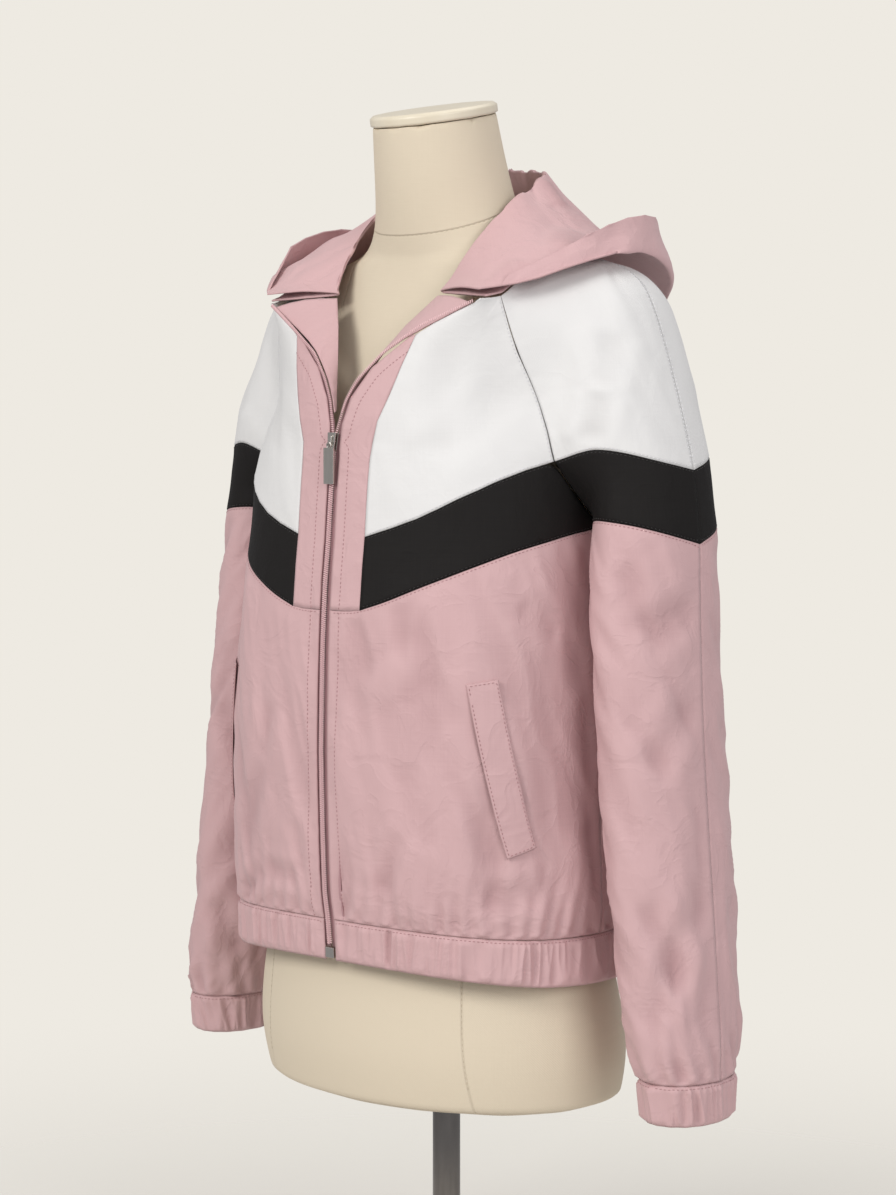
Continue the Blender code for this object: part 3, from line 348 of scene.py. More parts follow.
@dataclass(frozen=True)
class HardFinish:
    """Metal or paint with handling marks."""

    name: str
    slot: str
    colour: Colour
    worn: Colour
    roughness: float = 0.25
    metallic: float = 1.0
    grain: float = 400.0
    mark_depth: float = 0.00002

    def material(self, shading: Shading) -> bpy.types.Material:
        """Builds the material.

        Args:
            shading: the shared node groups.

        Returns:
            The material.
        """
        known = bpy.data.materials.get(self.name)
        if known:
            return known
        material, wires, shader = new_material(self.name)
        place = wires.add("TexCoord").outputs["Object"]
        marks = wires.shared(shading.brushed, Vector=place, Grain=self.grain)
        worn = wires.clamped(wires.maths("MULTIPLY_ADD", marks.outputs["Tone"], 2.0, -0.6))
        smoothest = self.roughness - ROUGH_SPREAD / 2
        wires.fill(shader, {
            "Base Color": wires.mixed(worn, self.colour, self.worn),
            "Roughness": wires.maths("MULTIPLY_ADD", marks.outputs["Tone"], ROUGH_SPREAD, smoothest),
            "Normal": wires.bumped(marks.outputs["Height"], self.mark_depth),
            "Metallic": self.metallic,
        })
        return material


def thread_finish(name: str, slot: str, colour: Colour, shade: Colour) -> ClothFinish:
    """The smooth finish of a sewing thread."""
    return ClothFinish(name, slot, colour, shade, crumple_depth=0.00002, weave_depth=0.00002)


PINK = ClothFinish(
    "pink_polyester", "pink_cloth", (0.600, 0.392, 0.398), (0.400, 0.232, 0.240),
    crumple_size=0.03, crumple_depth=0.0013, mottle=0.07,
)
WHITE = ClothFinish(
    "white_polyester", "white_cloth", (0.720, 0.712, 0.706), (0.560, 0.547, 0.542),
    crumple_depth=0.0005, mottle=0.02,
)
BLACK = ClothFinish(
    "black_polyester", "black_cloth", (0.0070, 0.0056, 0.0053), (0.0045, 0.0038, 0.0036),
    roughness=0.75, sheen=0.0,
)
TAPE = ClothFinish(
    "zip_ribbon", "zip_tape", (0.470, 0.275, 0.290), (0.300, 0.160, 0.170),
    thread=0.0009, weave_depth=0.00012, crumple_depth=0.0001,
)
COIL = ClothFinish(
    "zip_coil", "zip_tape", (0.740, 0.500, 0.510), (0.520, 0.320, 0.330),
    roughness=0.4, crumple_depth=0.00002, weave_depth=0.00002, sheen=0.0,
)
COVER = ClothFinish(
    "form_linen", "form_cloth", (0.700, 0.610, 0.475), (0.540, 0.452, 0.325), roughness=0.85, thread=0.0009,
    weave_depth=0.00008, crumple_size=0.09, crumple_depth=0.0002, sheen=0.05, mottle=0.05,
    seams=(SIDE_SEAM, NECK_SEAM),
)
THREAD = thread_finish("pink_thread", "pink_cloth", (0.430, 0.235, 0.245), (0.330, 0.170, 0.180))
WHITE_THREAD = thread_finish("white_thread", "white_cloth", (0.700, 0.700, 0.720), (0.500, 0.500, 0.520))
BLACK_THREAD = thread_finish("black_thread", "black_cloth", (0.030, 0.027, 0.027), (0.012, 0.010, 0.010))
COVER_THREAD = thread_finish("cover_thread", "form_cloth", (0.560, 0.480, 0.360), (0.440, 0.370, 0.260))
NICKEL = HardFinish("nickel_plate", "nickel", (0.560, 0.535, 0.500), (0.400, 0.375, 0.345), roughness=0.22)
CHROME = HardFinish(
    "dark_chrome", "steel", (0.230, 0.215, 0.205), (0.140, 0.130, 0.122), roughness=0.20, grain=220.0,
)
PAINT = HardFinish(
    "cap_lacquer", "cap_paint", (0.740, 0.672, 0.540), (0.670, 0.595, 0.455),
    roughness=0.38, metallic=0.0, grain=90.0,
)


# Shapes


def eased(value: float) -> float:
    """Rises smoothly from 0 to 1 as value does."""
    value = min(max(value, 0.0), 1.0)
    return value * value * (3 - 2 * value)


@dataclass(frozen=True)
class Wrap:
    """A tube-like course that cloth goes round, which gives the cloth its own two directions."""

    top: Point
    bottom: Point
    radius: float
    behind: bool = False

    def at(self, point: Vector) -> tuple[float, float]:
        """Finds how far round and how far up a point is.

        Args:
            point: the place, in metres.

        Returns:
            Metres round the tube and metres along it.
        """
        share = (point.z - self.bottom[2]) / (self.top[2] - self.bottom[2])
        x = point.x - self.bottom[0] - share * (self.top[0] - self.bottom[0])
        y = point.y - self.bottom[1] - share * (self.top[1] - self.bottom[1])
        angle = math.atan2(x, y) if self.behind else math.atan2(x, -y)
        return angle * self.radius, point.z


@dataclass(frozen=True)
class Crease:
    """One soft trough, or a ridge where its depth is negative, between two points on the cloth."""

    start: Point
    end: Point
    width: float
    depth: float

    def sink(self, point: Vector) -> float:
        """How far the cloth sinks here."""
        a, b = Vector(self.start), Vector(self.end)
        run = b - a
        share = min(max((point - a).dot(run) / run.length_squared, 0.0), 1.0)
        away = (point - a - run * share).length / self.width
        if away > 2.6:
            return 0.0
        ends = eased(min(share, 1 - share) * 4 + 0.15)
        return 1.6 * self.depth * ends * (math.exp(-away * away) - 0.45 * math.exp(-((away - 1.6) ** 2) * 2.2))


@dataclass(frozen=True)
class Ripple:
    """Uneven folds that run mostly one way."""

    depth: float
    across: float
    along: float
    lean: float = 0.0
    crisp: float = 0.5

    def height(self, u: float, v: float, seed: float) -> float:
        """The height of the cloth at a place on it, around 0."""
        place = Vector(((u + self.lean * v) / self.across, v / self.along, seed))
        soft = noise.noise(place)
        ridge = 0.55 - abs(noise.noise(place * 1.7 + Vector((3.1, 7.7, 1.3)))) * 2.2
        return self.depth * ((1 - self.crisp) * soft * 1.4 + self.crisp * ridge)


@dataclass(frozen=True)
class Stitching:
    """A row of stitches beside the seams with the named pieces."""

    beside: tuple[str, ...]
    inset: float
    finish: ClothFinish = THREAD
    pitch: float = 0.0032
    length: float = 0.0021
    trim: float = 0.002


@dataclass(frozen=True)
class Puckering:
    """How far a gathered seam draws its cloth into small pleats."""

    beside: tuple[str, ...]
    depth: float
    reach: float
    spacing: float

    def rise(self, point: Vector, tree: kdtree.KDTree, runs: Sequence[float], seed: float) -> float:
        """How far the pleats lift the cloth at a point.

        Args:
            point: the place.
            tree: the search tree of the gathered part of the edge.
            runs: how far round the edge each point of it is.
            seed: the piece's own number.

        Returns:
            Metres outward.
        """
        _, at, apart = tree.find(point)
        if apart > self.reach * 4:
            return 0.0
        turn = runs[at] / self.spacing
        turn += 0.9 * noise.noise(Vector((runs[at] / 0.05, apart / 0.06, seed)))
        wave = 0.6 * math.cos(2 * math.pi * turn) + 0.9 * noise.noise(Vector((turn * 0.9, apart / 0.05, seed)))
        share = math.exp(-apart / self.reach) * eased(apart / 0.004)
        return self.depth * share * wave


def source_mesh(node: str) -> bmesh.types.BMesh:
    """Copies a CAD node's mesh, merges it and pairs its triangles.

    Args:
        node: the node's name.

    Returns:
        The new mesh, which the caller frees.
    """
    mesh = bmesh.new()
    mesh.from_mesh(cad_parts[node].data)
    bmesh.ops.remove_doubles(mesh, verts=mesh.verts, dist=1e-5)
    bmesh.ops.join_triangles(mesh, faces=mesh.faces, angle_face_threshold=0.9, angle_shape_threshold=3.0)
    return mesh


def keep_outer_skin(mesh: bmesh.types.BMesh, sharp: float = 0.96, rim: float = 0.0) -> None:
    """Leaves the larger skin of a thin wall, and deletes the other and the rim.

    Args:
        mesh: the wall, closed.
        sharp: the angle in radians past which two faces are on different skins.
        rim: where the cloth itself is folded sharply, the height under which a face is part of the rim.
    """
    if rim:
        thin = []
        for face in mesh.faces:
            longest = max(edge.calc_length() for edge in face.edges)
            if face.calc_area() * (2 if len(face.verts) == 3 else 1) / longest < rim:
                thin.append(face)
        bmesh.ops.delete(mesh, geom=thin, context="FACES")
    mesh.faces.ensure_lookup_table()
    left = set(mesh.faces)
    skins = []
    while left:
        seed = next(iter(left))
        left.discard(seed)
        skin, rim_of = [seed], [seed]
        while rim_of:
            face = rim_of.pop()
            for edge in face.edges:
                if len(edge.link_faces) != 2 or edge.calc_face_angle(4.0) > sharp:
                    continue
                for other in edge.link_faces:
                    if other in left:
                        left.discard(other)
                        skin.append(other)
                        rim_of.append(other)
        skins.append(skin)
    areas = [sum(face.calc_area() for face in skin) for skin in skins]
    kept = set(skins[areas.index(max(areas))])
    bmesh.ops.delete(mesh, geom=[face for face in mesh.faces if face not in kept], context="FACES")


CRISP = 0.85


def crease_sharp_edges(mesh: bmesh.types.BMesh, sharp: float = 0.8) -> None:
    """Keeps the edges of a solid crisp when it is subdivided."""
    layer = mesh.edges.layers.float.get("crease_edge") or mesh.edges.layers.float.new("crease_edge")
    for edge in mesh.edges:
        if len(edge.link_faces) == 2 and edge.calc_face_angle(0.0) > sharp:
            edge[layer] = CRISP


SMOOTHING_ROUNDS = 36


def refined(mesh: bmesh.types.BMesh, name: str, levels: int, held: bool = False) -> bpy.types.Mesh:
    """Subdivides a mesh smoothly, and frees it.

    Args:
        mesh: the coarse mesh.
        name: the name of the result.
        levels: how often each face is cut in four.
        held: whether its edge stays just where it is, and only the cloth inside is smoothed.

    Returns:
        The fine mesh.
    """
    data = bpy.data.meshes.new(name + "_coarse")
    mesh.to_mesh(data)
    mesh.free()
    carrier = bpy.data.objects.new(name + "_coarse", data)
    bpy.context.scene.collection.objects.link(carrier)
    smooth = carrier.modifiers.new("smooth", "SUBSURF")
    smooth.levels = smooth.render_levels = levels
    smooth.boundary_smooth = "PRESERVE_CORNERS"
    if held:
        smooth.subdivision_type = "SIMPLE"
    bpy.context.view_layer.update()
    fine = bpy.data.meshes.new_from_object(carrier.evaluated_get(bpy.context.evaluated_depsgraph_get()))
    bpy.data.objects.remove(carrier)
    fine.name = name
    if held:
        inside = bmesh.new()
        inside.from_mesh(fine)
        free = [v for v in inside.verts if not v.is_boundary]
        for _ in range(SMOOTHING_ROUNDS):
            bmesh.ops.smooth_vert(inside, verts=free, factor=0.5, use_axis_x=True, use_axis_y=True, use_axis_z=True)
        inside.to_mesh(fine)
        inside.free()
    return fine


def placed(
    name: str, data: bpy.types.Mesh, finish: ClothFinish | HardFinish, shading: Shading,
    body: str = BODY, smooth: bool = True,
) -> bpy.types.Object:
    """Puts a finished mesh in the scene.

    Args:
        name: the piece's name.
        data: its mesh, in place.
        finish: its finish.
        shading: the shared node groups.
        body: the body it moves with.
        smooth: whether its faces are shaded smoothly.

    Returns:
        The new object.
    """
    piece = bpy.data.objects.new(name, data)
    bpy.context.scene.collection.objects.link(piece)
    data.materials.clear()
    data.materials.append(finish.material(shading))
    data.polygons.foreach_set("use_smooth", [smooth] * len(data.polygons))
    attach(piece, body)
    return piece


def from_bmesh(mesh: bmesh.types.BMesh, name: str) -> bpy.types.Mesh:
    """Turns a bmesh into mesh data with its faces outward, and frees it."""
    bmesh.ops.recalc_face_normals(mesh, faces=mesh.faces)
    data = bpy.data.meshes.new(name)
    mesh.to_mesh(data)
    mesh.free()
    return data


def add_cloth_run(data: bpy.types.Mesh, wrap: Wrap) -> None:
    """Gives a mesh the UV map that its weave follows, in metres.

    Args:
        data: the mesh.
        wrap: the course that the cloth goes round.
    """
    layer = data.uv_layers.new(name="cloth")
    spots = [wrap.at(v.co) for v in data.vertices]
    full = 2 * math.pi * wrap.radius
    flat = np.zeros(len(data.loops) * 2)
    for face in data.polygons:
        first = spots[data.loops[face.loop_start].vertex_index][0]
        for index in face.loop_indices:
            u, v = spots[data.loops[index].vertex_index]
            if u - first > full / 2:
                u -= full
            elif first - u > full / 2:
                u += full
            flat[2 * index], flat[2 * index + 1] = u, v
    layer.data.foreach_set("uv", flat)


NEIGHBOUR_REACH = 0.008


class Neighbours:
    """Tells which CAD node lies nearest a point."""

    def __init__(self) -> None:
        """Builds a search tree for each node."""
        self.trees = {}
        for name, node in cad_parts.items():
            corners = [v.co.copy() for v in node.data.vertices]
            self.trees[name] = BVHTree.FromPolygons(corners, [tuple(p.vertices) for p in node.data.polygons])

    def nearest(self, point: Vector, own: str) -> str:
        """Names the nearest node.

        Args:
            point: the place looked from.
            own: the node that the point is on, which is left out.

        Returns:
            The nearest node's name, or an empty one where none is within 8 mm.
        """
        best, which = NEIGHBOUR_REACH, ""
        for name, tree in self.trees.items():
            if name == own:
                continue
            found = tree.find_nearest(point, best)
            if found[0] is not None and found[3] < best:
                best, which = found[3], name
        return which


class Edge:
    """The edge of a fine sheet: its points, how far round they are, and what they lie beside."""

    def __init__(self, data: bpy.types.Mesh, neighbours: Neighbours, own: str) -> None:
        """Walks round the edge.

        Args:
            data: the sheet.
            neighbours: the search trees.
            own: the CAD node that the sheet stands for.
        """
        mesh = bmesh.new()
        mesh.from_mesh(data)
        links: dict[int, list[int]] = {}
        for edge in mesh.edges:
            if edge.is_boundary:
                a, b = edge.verts[0].index, edge.verts[1].index
                links.setdefault(a, []).append(b)
                links.setdefault(b, []).append(a)
        where = {v.index: v.co.copy() for v in mesh.verts if v.index in links}
        mesh.free()
        self.points: list[Vector] = []
        self.runs: list[float] = []
        self.beside: list[str] = []
        left = set(links)
        while left:
            start = min(left)
            left.discard(start)
            loop = [start]
            while True:
                onward = [k for k in links[loop[-1]] if k in left]
                if not onward:
                    break
                left.discard(onward[0])
                loop.append(onward[0])
            run = 0.0
            loop.append(start)
            for a, b in zip(loop, loop[1:]):
                step = (where[b] - where[a]).length
                name = neighbours.nearest(where[a], own)
                for part in (0.0, 0.5):
                    self.points.append(where[a].lerp(where[b], part))
                    self.runs.append(run + part * step)
                    self.beside.append(name)
                run += step
        self.whole = self._tree(range(len(self.points)))

    def _tree(self, indices: Iterable[int]) -> kdtree.KDTree:
        """A search tree of some of the edge's points."""
        indices = list(indices)
        tree = kdtree.KDTree(len(indices))
        for index in indices:
            tree.insert(self.points[index], index)
        tree.balance()
        return tree

    def part(self, names: Sequence[str]) -> kdtree.KDTree | None:
        """The part of the edge beside some pieces.

        Args:
            names: the starts of those pieces' names.

        Returns:
            A search tree of its points, or None where there are none.
        """
        indices = [i for i, name in enumerate(self.beside) if name and name.startswith(tuple(names))]
        return self._tree(indices) if indices else None


def contour(data: bpy.types.Mesh, values: np.ndarray, level: float) -> list[Line]:
    """Finds the lines on a mesh where a value passes a level.

    Args:
        data: the mesh.
        values: the value at each vertex; not a number where no line may go.
        level: the value of the line.

    Returns:
        Each line as its points with their normals.
    """
    links: dict[tuple[int, int], list[tuple[int, int]]] = {}
    spots: dict[tuple[int, int], tuple[Vector, Vector]] = {}
    for face in data.polygons:
        ring = list(face.vertices)
        around = [values[k] for k in ring]
        if any(math.isnan(x) for x in around) or not (min(around) < level <= max(around)):
            continue
        cuts = []
        for a, b in zip(ring, ring[1:] + ring[:1]):
            if (values[a] < level) != (values[b] < level):
                key = (min(a, b), max(a, b))
                if key not in spots:
                    share = float((level - values[a]) / (values[b] - values[a]))
                    va, vb = data.vertices[a], data.vertices[b]
                    spots[key] = (va.co.lerp(vb.co, share), va.normal.lerp(vb.normal, share).normalized())
                cuts.append(key)
        if len(cuts) == 2:
            links.setdefault(cuts[0], []).append(cuts[1])
            links.setdefault(cuts[1], []).append(cuts[0])
    lines = []
    left = set(links)
    for key in sorted(links, key=lambda k: (len(links[k]), k)):
        if key not in left:
            continue
        left.discard(key)
        line = [key]
        while True:
            onward = [k for k in links[line[-1]] if k in left]
            if not onward:
                break
            left.discard(onward[0])
            line.append(onward[0])
        if len(line) > 3:
            lines.append([spots[k] for k in line])
    return lines



def along_line(runs: np.ndarray, values: np.ndarray, at: float) -> Vector:
    """Reads a line's points or normals at a length along it."""
    return Vector([np.interp(at, runs, values[:, k]) for k in range(3)])


def add_bead(mesh: bmesh.types.BMesh, place: Matrix, halves: Point) -> None:
    """Adds a small rounded bead, for a stitch or a tooth.

    Args:
        mesh: the mesh that it goes in.
        place: where it is and how it is turned.
        halves: half its length, width and height.
    """
    bmesh.ops.create_icosphere(mesh, subdivisions=1, radius=1.0, matrix=place @ Matrix.Diagonal((*halves, 1.0)))


def stitch_mesh(
    name: str, lines: list[Line], pitch: float, length: float, trim: float = 0.0, width: float = 0.0007,
) -> bpy.types.Mesh | None:
    """Lays stitches along lines on the cloth.

    Args:
        name: the mesh's name.
        lines: each line's points and normals.
        pitch: from one stitch to the next.
        length: a stitch's length.
        trim: how much is left bare at each end of a line.
        width: the thread's width.

    Returns:
        The stitches' mesh, or None where there are none.
    """
    aim = 0.0004
    mesh = bmesh.new()
    for line in lines:
        points = np.array([p for p, _ in line])
        for _ in range(2):
            points[1:-1] = (points[:-2] + 2 * points[1:-1] + points[2:]) / 4
        normals = np.array([n for _, n in line])
        steps = np.linalg.norm(np.diff(points, axis=0), axis=1)
        runs = np.concatenate([[0.0], np.cumsum(steps)])
        for at in np.arange(trim + pitch / 2, runs[-1] - trim, pitch):
            before, spot, after = (along_line(runs, points, at + move) for move in (-aim, 0.0, aim))
            along = (after - before).normalized()
            normal = along_line(runs, normals, at)
            over = (normal - along * normal.dot(along)).normalized()
            turn = Matrix((along, over.cross(along), over)).transposed().to_4x4()
            place = Matrix.Translation(spot + over * width * 0.2) @ turn
            add_bead(mesh, place, (length / 2, width / 2, width * 0.42))
    if not mesh.verts:
        mesh.free()
        return None
    data = bpy.data.meshes.new(name)
    mesh.to_mesh(data)
    mesh.free()
    return data


BODY_FRONT = Wrap((0.0, -0.01, 1.0), (0.0, -0.01, 0.2), 0.15)
BODY_BACK = Wrap((0.0, -0.01, 1.0), (0.0, -0.01, 0.2), 0.15, behind=True)
NO_RIPPLE = Ripple(0.0, 0.03, 0.1)

# Along a seam, in metres: the groove's half width, where its pull starts and fades, and how far apart it puckers.
GROOVE_WIDTH = 0.0013
PULL_START = 0.003
PULL_FADE = 0.008
PUCKER_SPACING = 0.0075
# A fold this deep gets the share of painted shade that follows it (a ridge as high, as much painted light), and the
# line along a piece's edge gets painted shade by the last two.
FOLD_DEPTH = 0.0022
FOLD_SHADE = 0.35
LINE_SHADE = 0.20
LINE_WIDTH = 0.0009
# How far past a row of stitches its distances are still measured.
ROW_MARGIN = 0.004


@dataclass(frozen=True)
class SewnPiece:
    """One cut piece of cloth: where it is, its finish, its folds and its stitches."""

    node: str
    finish: ClothFinish
    flat: tuple[float, float]
    area: float
    wrap: Wrap
    held: str = "draped"
    rests_on: tuple[str, ...] = ("form_torso",)
    thickness: float = 0.0013
    levels: int = 3
    ripple: Ripple = NO_RIPPLE
    seam_roll: float = 0.0002
    pucker: float = 0.00035
    creases: tuple[Crease, ...] = ()
    gathers: tuple[Puckering, ...] = ()
    stitching: tuple[Stitching, ...] = ()
    fade: float = 0.014
    sharp: float = 0.96
    rim: float = 0.0
    edge_held: bool = False
    swell: float = 0.0

    def build(self, shading: Shading, neighbours: Neighbours) -> bpy.types.Object:
        """Makes the piece from its solid's outer skin, folds it, and sews its stitches.

        Args:
            shading: the shared node groups.
            neighbours: the search trees of the CAD nodes.

        Returns:
            The piece.
        """
        coarse = source_mesh(self.node)
        keep_outer_skin(coarse, self.sharp, self.rim)
        data = refined(coarse, self.node + "_cloth", self.levels, self.edge_held)
        edge = Edge(data, neighbours, self.node)
        near = self._fold(data, edge)
        add_cloth_run(data, self.wrap)
        for index, row in enumerate(self.stitching):
            stitches = self._row(f"{self.node}_stitches_{index}", row, data, edge, near)
            if stitches is not None:
                add_cloth_run(stitches, self.wrap)
                placed(stitches.name, stitches, row.finish, shading)
        piece = placed(self.node + "_cloth", data, self.finish, shading)
        wall = piece.modifiers.new("wall", "SOLIDIFY")
        wall.thickness = self.thickness
        wall.offset = -1.0
        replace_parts(piece, self.node)
        list(self.rests_on)
        LOG.info("%s: %d faces", piece.name, len(data.polygons))
        return piece

    def _fold(self, data: bpy.types.Mesh, edge: Edge) -> np.ndarray:
        """Moves the cloth into its folds, and paints shade into its troughs and along its edge, and light onto its
        ridges.

        Args:
            data: the smooth sheet.
            edge: its edge.

        Returns:
            How far each vertex is from the edge.
        """
        count = len(data.vertices)
        parts = [(gather, edge.part(gather.beside)) for gather in self.gathers]
        gathered = [(gather, tree) for gather, tree in parts if tree is not None]
        seed = sum(ord(letter) for letter in self.node) % 97 * 1.37
        moved, near = np.zeros(count), np.zeros(count)
        normals = [v.normal.copy() for v in data.vertices]
        for vertex in data.vertices:
            _, index, away = edge.whole.find(vertex.co)
            near[vertex.index] = away
            rise = self._rise(vertex.co, edge.runs[index], away, seed)
            for gather, tree in gathered:
                rise += gather.rise(vertex.co, tree, edge.runs, seed) * eased(away / PULL_START)
            moved[vertex.index] = rise
        for vertex, normal, rise in zip(data.vertices, normals, moved):
            vertex.co = vertex.co + normal * float(rise)
        data.update()
        # Painted shade where the cloth sinks and along its edge, painted light where it rises, kept in a point
        # attribute.
        line = LINE_SHADE * np.exp(-((near / LINE_WIDTH) ** 2))
        painted_light_and_shade = np.clip(-moved / FOLD_DEPTH * FOLD_SHADE + line, -0.5, 1.0)
        data.attributes.new("painted_light_and_shade", "FLOAT", "POINT").data.foreach_set("value", painted_light_and_shade)
        return near

    def _rise(self, point: Vector, run: float, away: float, seed: float) -> float:
        """How far ripples, creases and the seam's pull lift the cloth at a point.

        Args:
            point: the place.
            run: how far round the edge the nearest point of it is.
            away: how far the edge is.
            seed: the piece's own number.

        Returns:
            Metres outward.
        """
        fade = eased(away / self.fade)
        u, v = self.wrap.at(point)
        rise = fade * (self.swell + self.ripple.height(u, v, seed)) if self.ripple.depth else 0.0
        for crease in self.creases:
            rise -= crease.sink(point) * fade
        window = eased(away / PULL_START) * math.exp(-away / PULL_FADE)
        rise += 2.0 * self.pucker * window * noise.noise(Vector((run / PUCKER_SPACING, away / 0.03, seed)))
        return rise - self.seam_roll * math.exp(-((away / GROOVE_WIDTH) ** 2))

    def _row(
        self, name: str, row: Stitching, data: bpy.types.Mesh, edge: Edge, near: np.ndarray,
    ) -> bpy.types.Mesh | None:
        """Makes one row of stitches on the cloth.

        Args:
            name: the mesh's name.
            row: the row.
            data: the folded sheet.
            edge: its edge.
            near: how far each vertex was from the edge.

        Returns:
            The stitches' mesh, or None where there are none.
        """
        tree = edge.part(row.beside)
        if tree is None:
            LOG.info("no seam of %s lies beside %s", self.node, row.beside)
            return None
        values = np.full(len(near), np.nan)
        for vertex in data.vertices:
            apart = tree.find(vertex.co)[2]
            if apart < row.inset * 3 + ROW_MARGIN and apart < near[vertex.index] * 1.6 + row.inset + ROW_MARGIN:
                values[vertex.index] = apart
        return stitch_mesh(name, contour(data, values, row.inset), row.pitch, row.length, row.trim)


# The jacket


def sleeve_wrap(side: Side) -> Wrap:
    """The course of one sleeve."""
    return Wrap((side.sign * 0.150, 0.010, 0.85), (side.sign * 0.235, 0.0, 0.27), 0.055)


FRONT_CREASES = {
    Side.LEFT: (
        Crease((0.126, -0.108, 0.496), (0.135, -0.096, 0.402), 0.011, 0.0016),
        Crease((0.072, -0.135, 0.523), (0.095, -0.1275, 0.452), 0.010, 0.0012),
        Crease((0.037, -0.140, 0.565), (0.093, -0.125, 0.604), 0.012, -0.0010),
        Crease((0.053, -0.135, 0.419), (0.072, -0.134, 0.470), 0.008, 0.0018),
        Crease((0.126, -0.108, 0.424), (0.154, -0.068, 0.422), 0.010, 0.0014),
        Crease((0.160, -0.023, 0.476), (0.164, -0.016, 0.416), 0.011, 0.0015),
        Crease((0.139, -0.078, 0.640), (0.1485, -0.044, 0.609), 0.011, 0.0014),
        Crease((0.108, -0.1205, 0.554), (0.126, -0.108, 0.496), 0.012, -0.0009),
        Crease((0.086, -0.095, 0.837), (0.081, -0.112, 0.741), 0.014, 0.0009),
        Crease((0.123, -0.059, 0.800), (0.081, -0.112, 0.741), 0.013, 0.0008),
    ),
    Side.RIGHT: (
        Crease((-0.058, -0.137, 0.558), (-0.070, -0.135, 0.511), 0.010, 0.0013),
        Crease((-0.073, -0.132, 0.427), (-0.104, -0.1175, 0.398), 0.009, 0.0015),
        Crease((-0.025, -0.138, 0.425), (-0.073, -0.132, 0.427), 0.008, 0.0012),
        Crease((-0.025, -0.138, 0.425), (-0.030, -0.139, 0.470), 0.008, 0.0010),
        Crease((-0.070, -0.135, 0.511), (-0.104, -0.118, 0.440), 0.012, 0.0012),
        Crease((-0.139, -0.078, 0.640), (-0.1485, -0.044, 0.609), 0.012, 0.0012),
        Crease((-0.054, -0.120, 0.754), (-0.115, -0.065, 0.790), 0.014, 0.0009),
    ),
}
SLEEVE_CREASES = {
    Side.LEFT: (
        Crease((0.227, -0.050, 0.428), (0.2536, -0.026, 0.3565), 0.011, 0.0024),
        Crease((0.250, -0.009, 0.425), (0.2345, -0.048, 0.329), 0.011, 0.0020),
        Crease((0.262, -0.002, 0.325), (0.243, 0.001, 0.496), 0.012, 0.0016),
        Crease((0.236, -0.002, 0.568), (0.2275, -0.039, 0.513), 0.012, 0.0015),
        Crease((0.217, -0.037, 0.613), (0.233, 0.015, 0.639), 0.013, 0.0013),
        Crease((0.202, -0.041, 0.670), (0.217, -0.037, 0.613), 0.011, 0.0013),
        Crease((0.1765, -0.020, 0.837), (0.182, -0.039, 0.793), 0.013, 0.0014),
        Crease((0.182, -0.039, 0.793), (0.175, -0.044, 0.749), 0.011, 0.0016),
        Crease((0.220, 0.045, 0.480), (0.245, 0.030, 0.390), 0.012, 0.0016),
        Crease((0.205, 0.055, 0.600), (0.228, 0.040, 0.530), 0.012, 0.0014),
    ),
    Side.RIGHT: (
        Crease((-0.2105, -0.051, 0.3765), (-0.200, -0.0275, 0.3255), 0.010, 0.0021),
        Crease((-0.182, -0.039, 0.492), (-0.203, -0.053, 0.540), 0.012, 0.0015),
        Crease((-0.203, -0.053, 0.540), (-0.190, -0.049, 0.589), 0.012, 0.0012),
        Crease((-0.227, -0.046, 0.400), (-0.250, -0.020, 0.335), 0.011, 0.0020),
        Crease((-0.236, -0.002, 0.590), (-0.230, -0.035, 0.530), 0.012, 0.0014),
        Crease((-0.180, -0.025, 0.830), (-0.180, -0.042, 0.770), 0.013, 0.0013),
        Crease((-0.220, 0.047, 0.450), (-0.243, 0.034, 0.370), 0.012, 0.0018),
        Crease((-0.200, 0.056, 0.630), (-0.222, 0.044, 0.560), 0.012, 0.0013),
    ),
}
HOOD_CREASES = {
    Side.LEFT: (
        Crease((0.060, 0.041, 0.955), (0.085, 0.036, 0.931), 0.012, 0.0014),
        Crease((0.1085, 0.024, 0.913), (0.132, -0.024, 0.897), 0.011, 0.0017),
        Crease((0.115, -0.049, 0.889), (0.117, -0.075, 0.873), 0.009, 0.0012),
        Crease((0.156, 0.012, 0.914), (0.158, -0.008, 0.896), 0.010, 0.0010),
    ),
    Side.RIGHT: (
        Crease((-0.154, -0.004, 0.906), (-0.090, -0.026, 0.911), 0.011, 0.0015),
        Crease((-0.075, 0.045, 0.945), (-0.110, 0.030, 0.915), 0.012, 0.0013),
        Crease((-0.115, -0.045, 0.889), (-0.118, -0.072, 0.874), 0.009, 0.0010),
    ),
}


class SewnAssembly:
    """A sub-assembly whose pieces are all sewn cloth."""

    def pieces(self) -> Iterator[SewnPiece]:
        """Gives the pieces in the order that they are made."""
        raise NotImplementedError

    def build(self, shading: Shading, neighbours: Neighbours) -> None:
        """Makes every piece.

        Args:
            shading: the shared node groups.
            neighbours: the search trees of the CAD nodes.
        """
        for piece in self.pieces():
            piece.build(shading, neighbours)


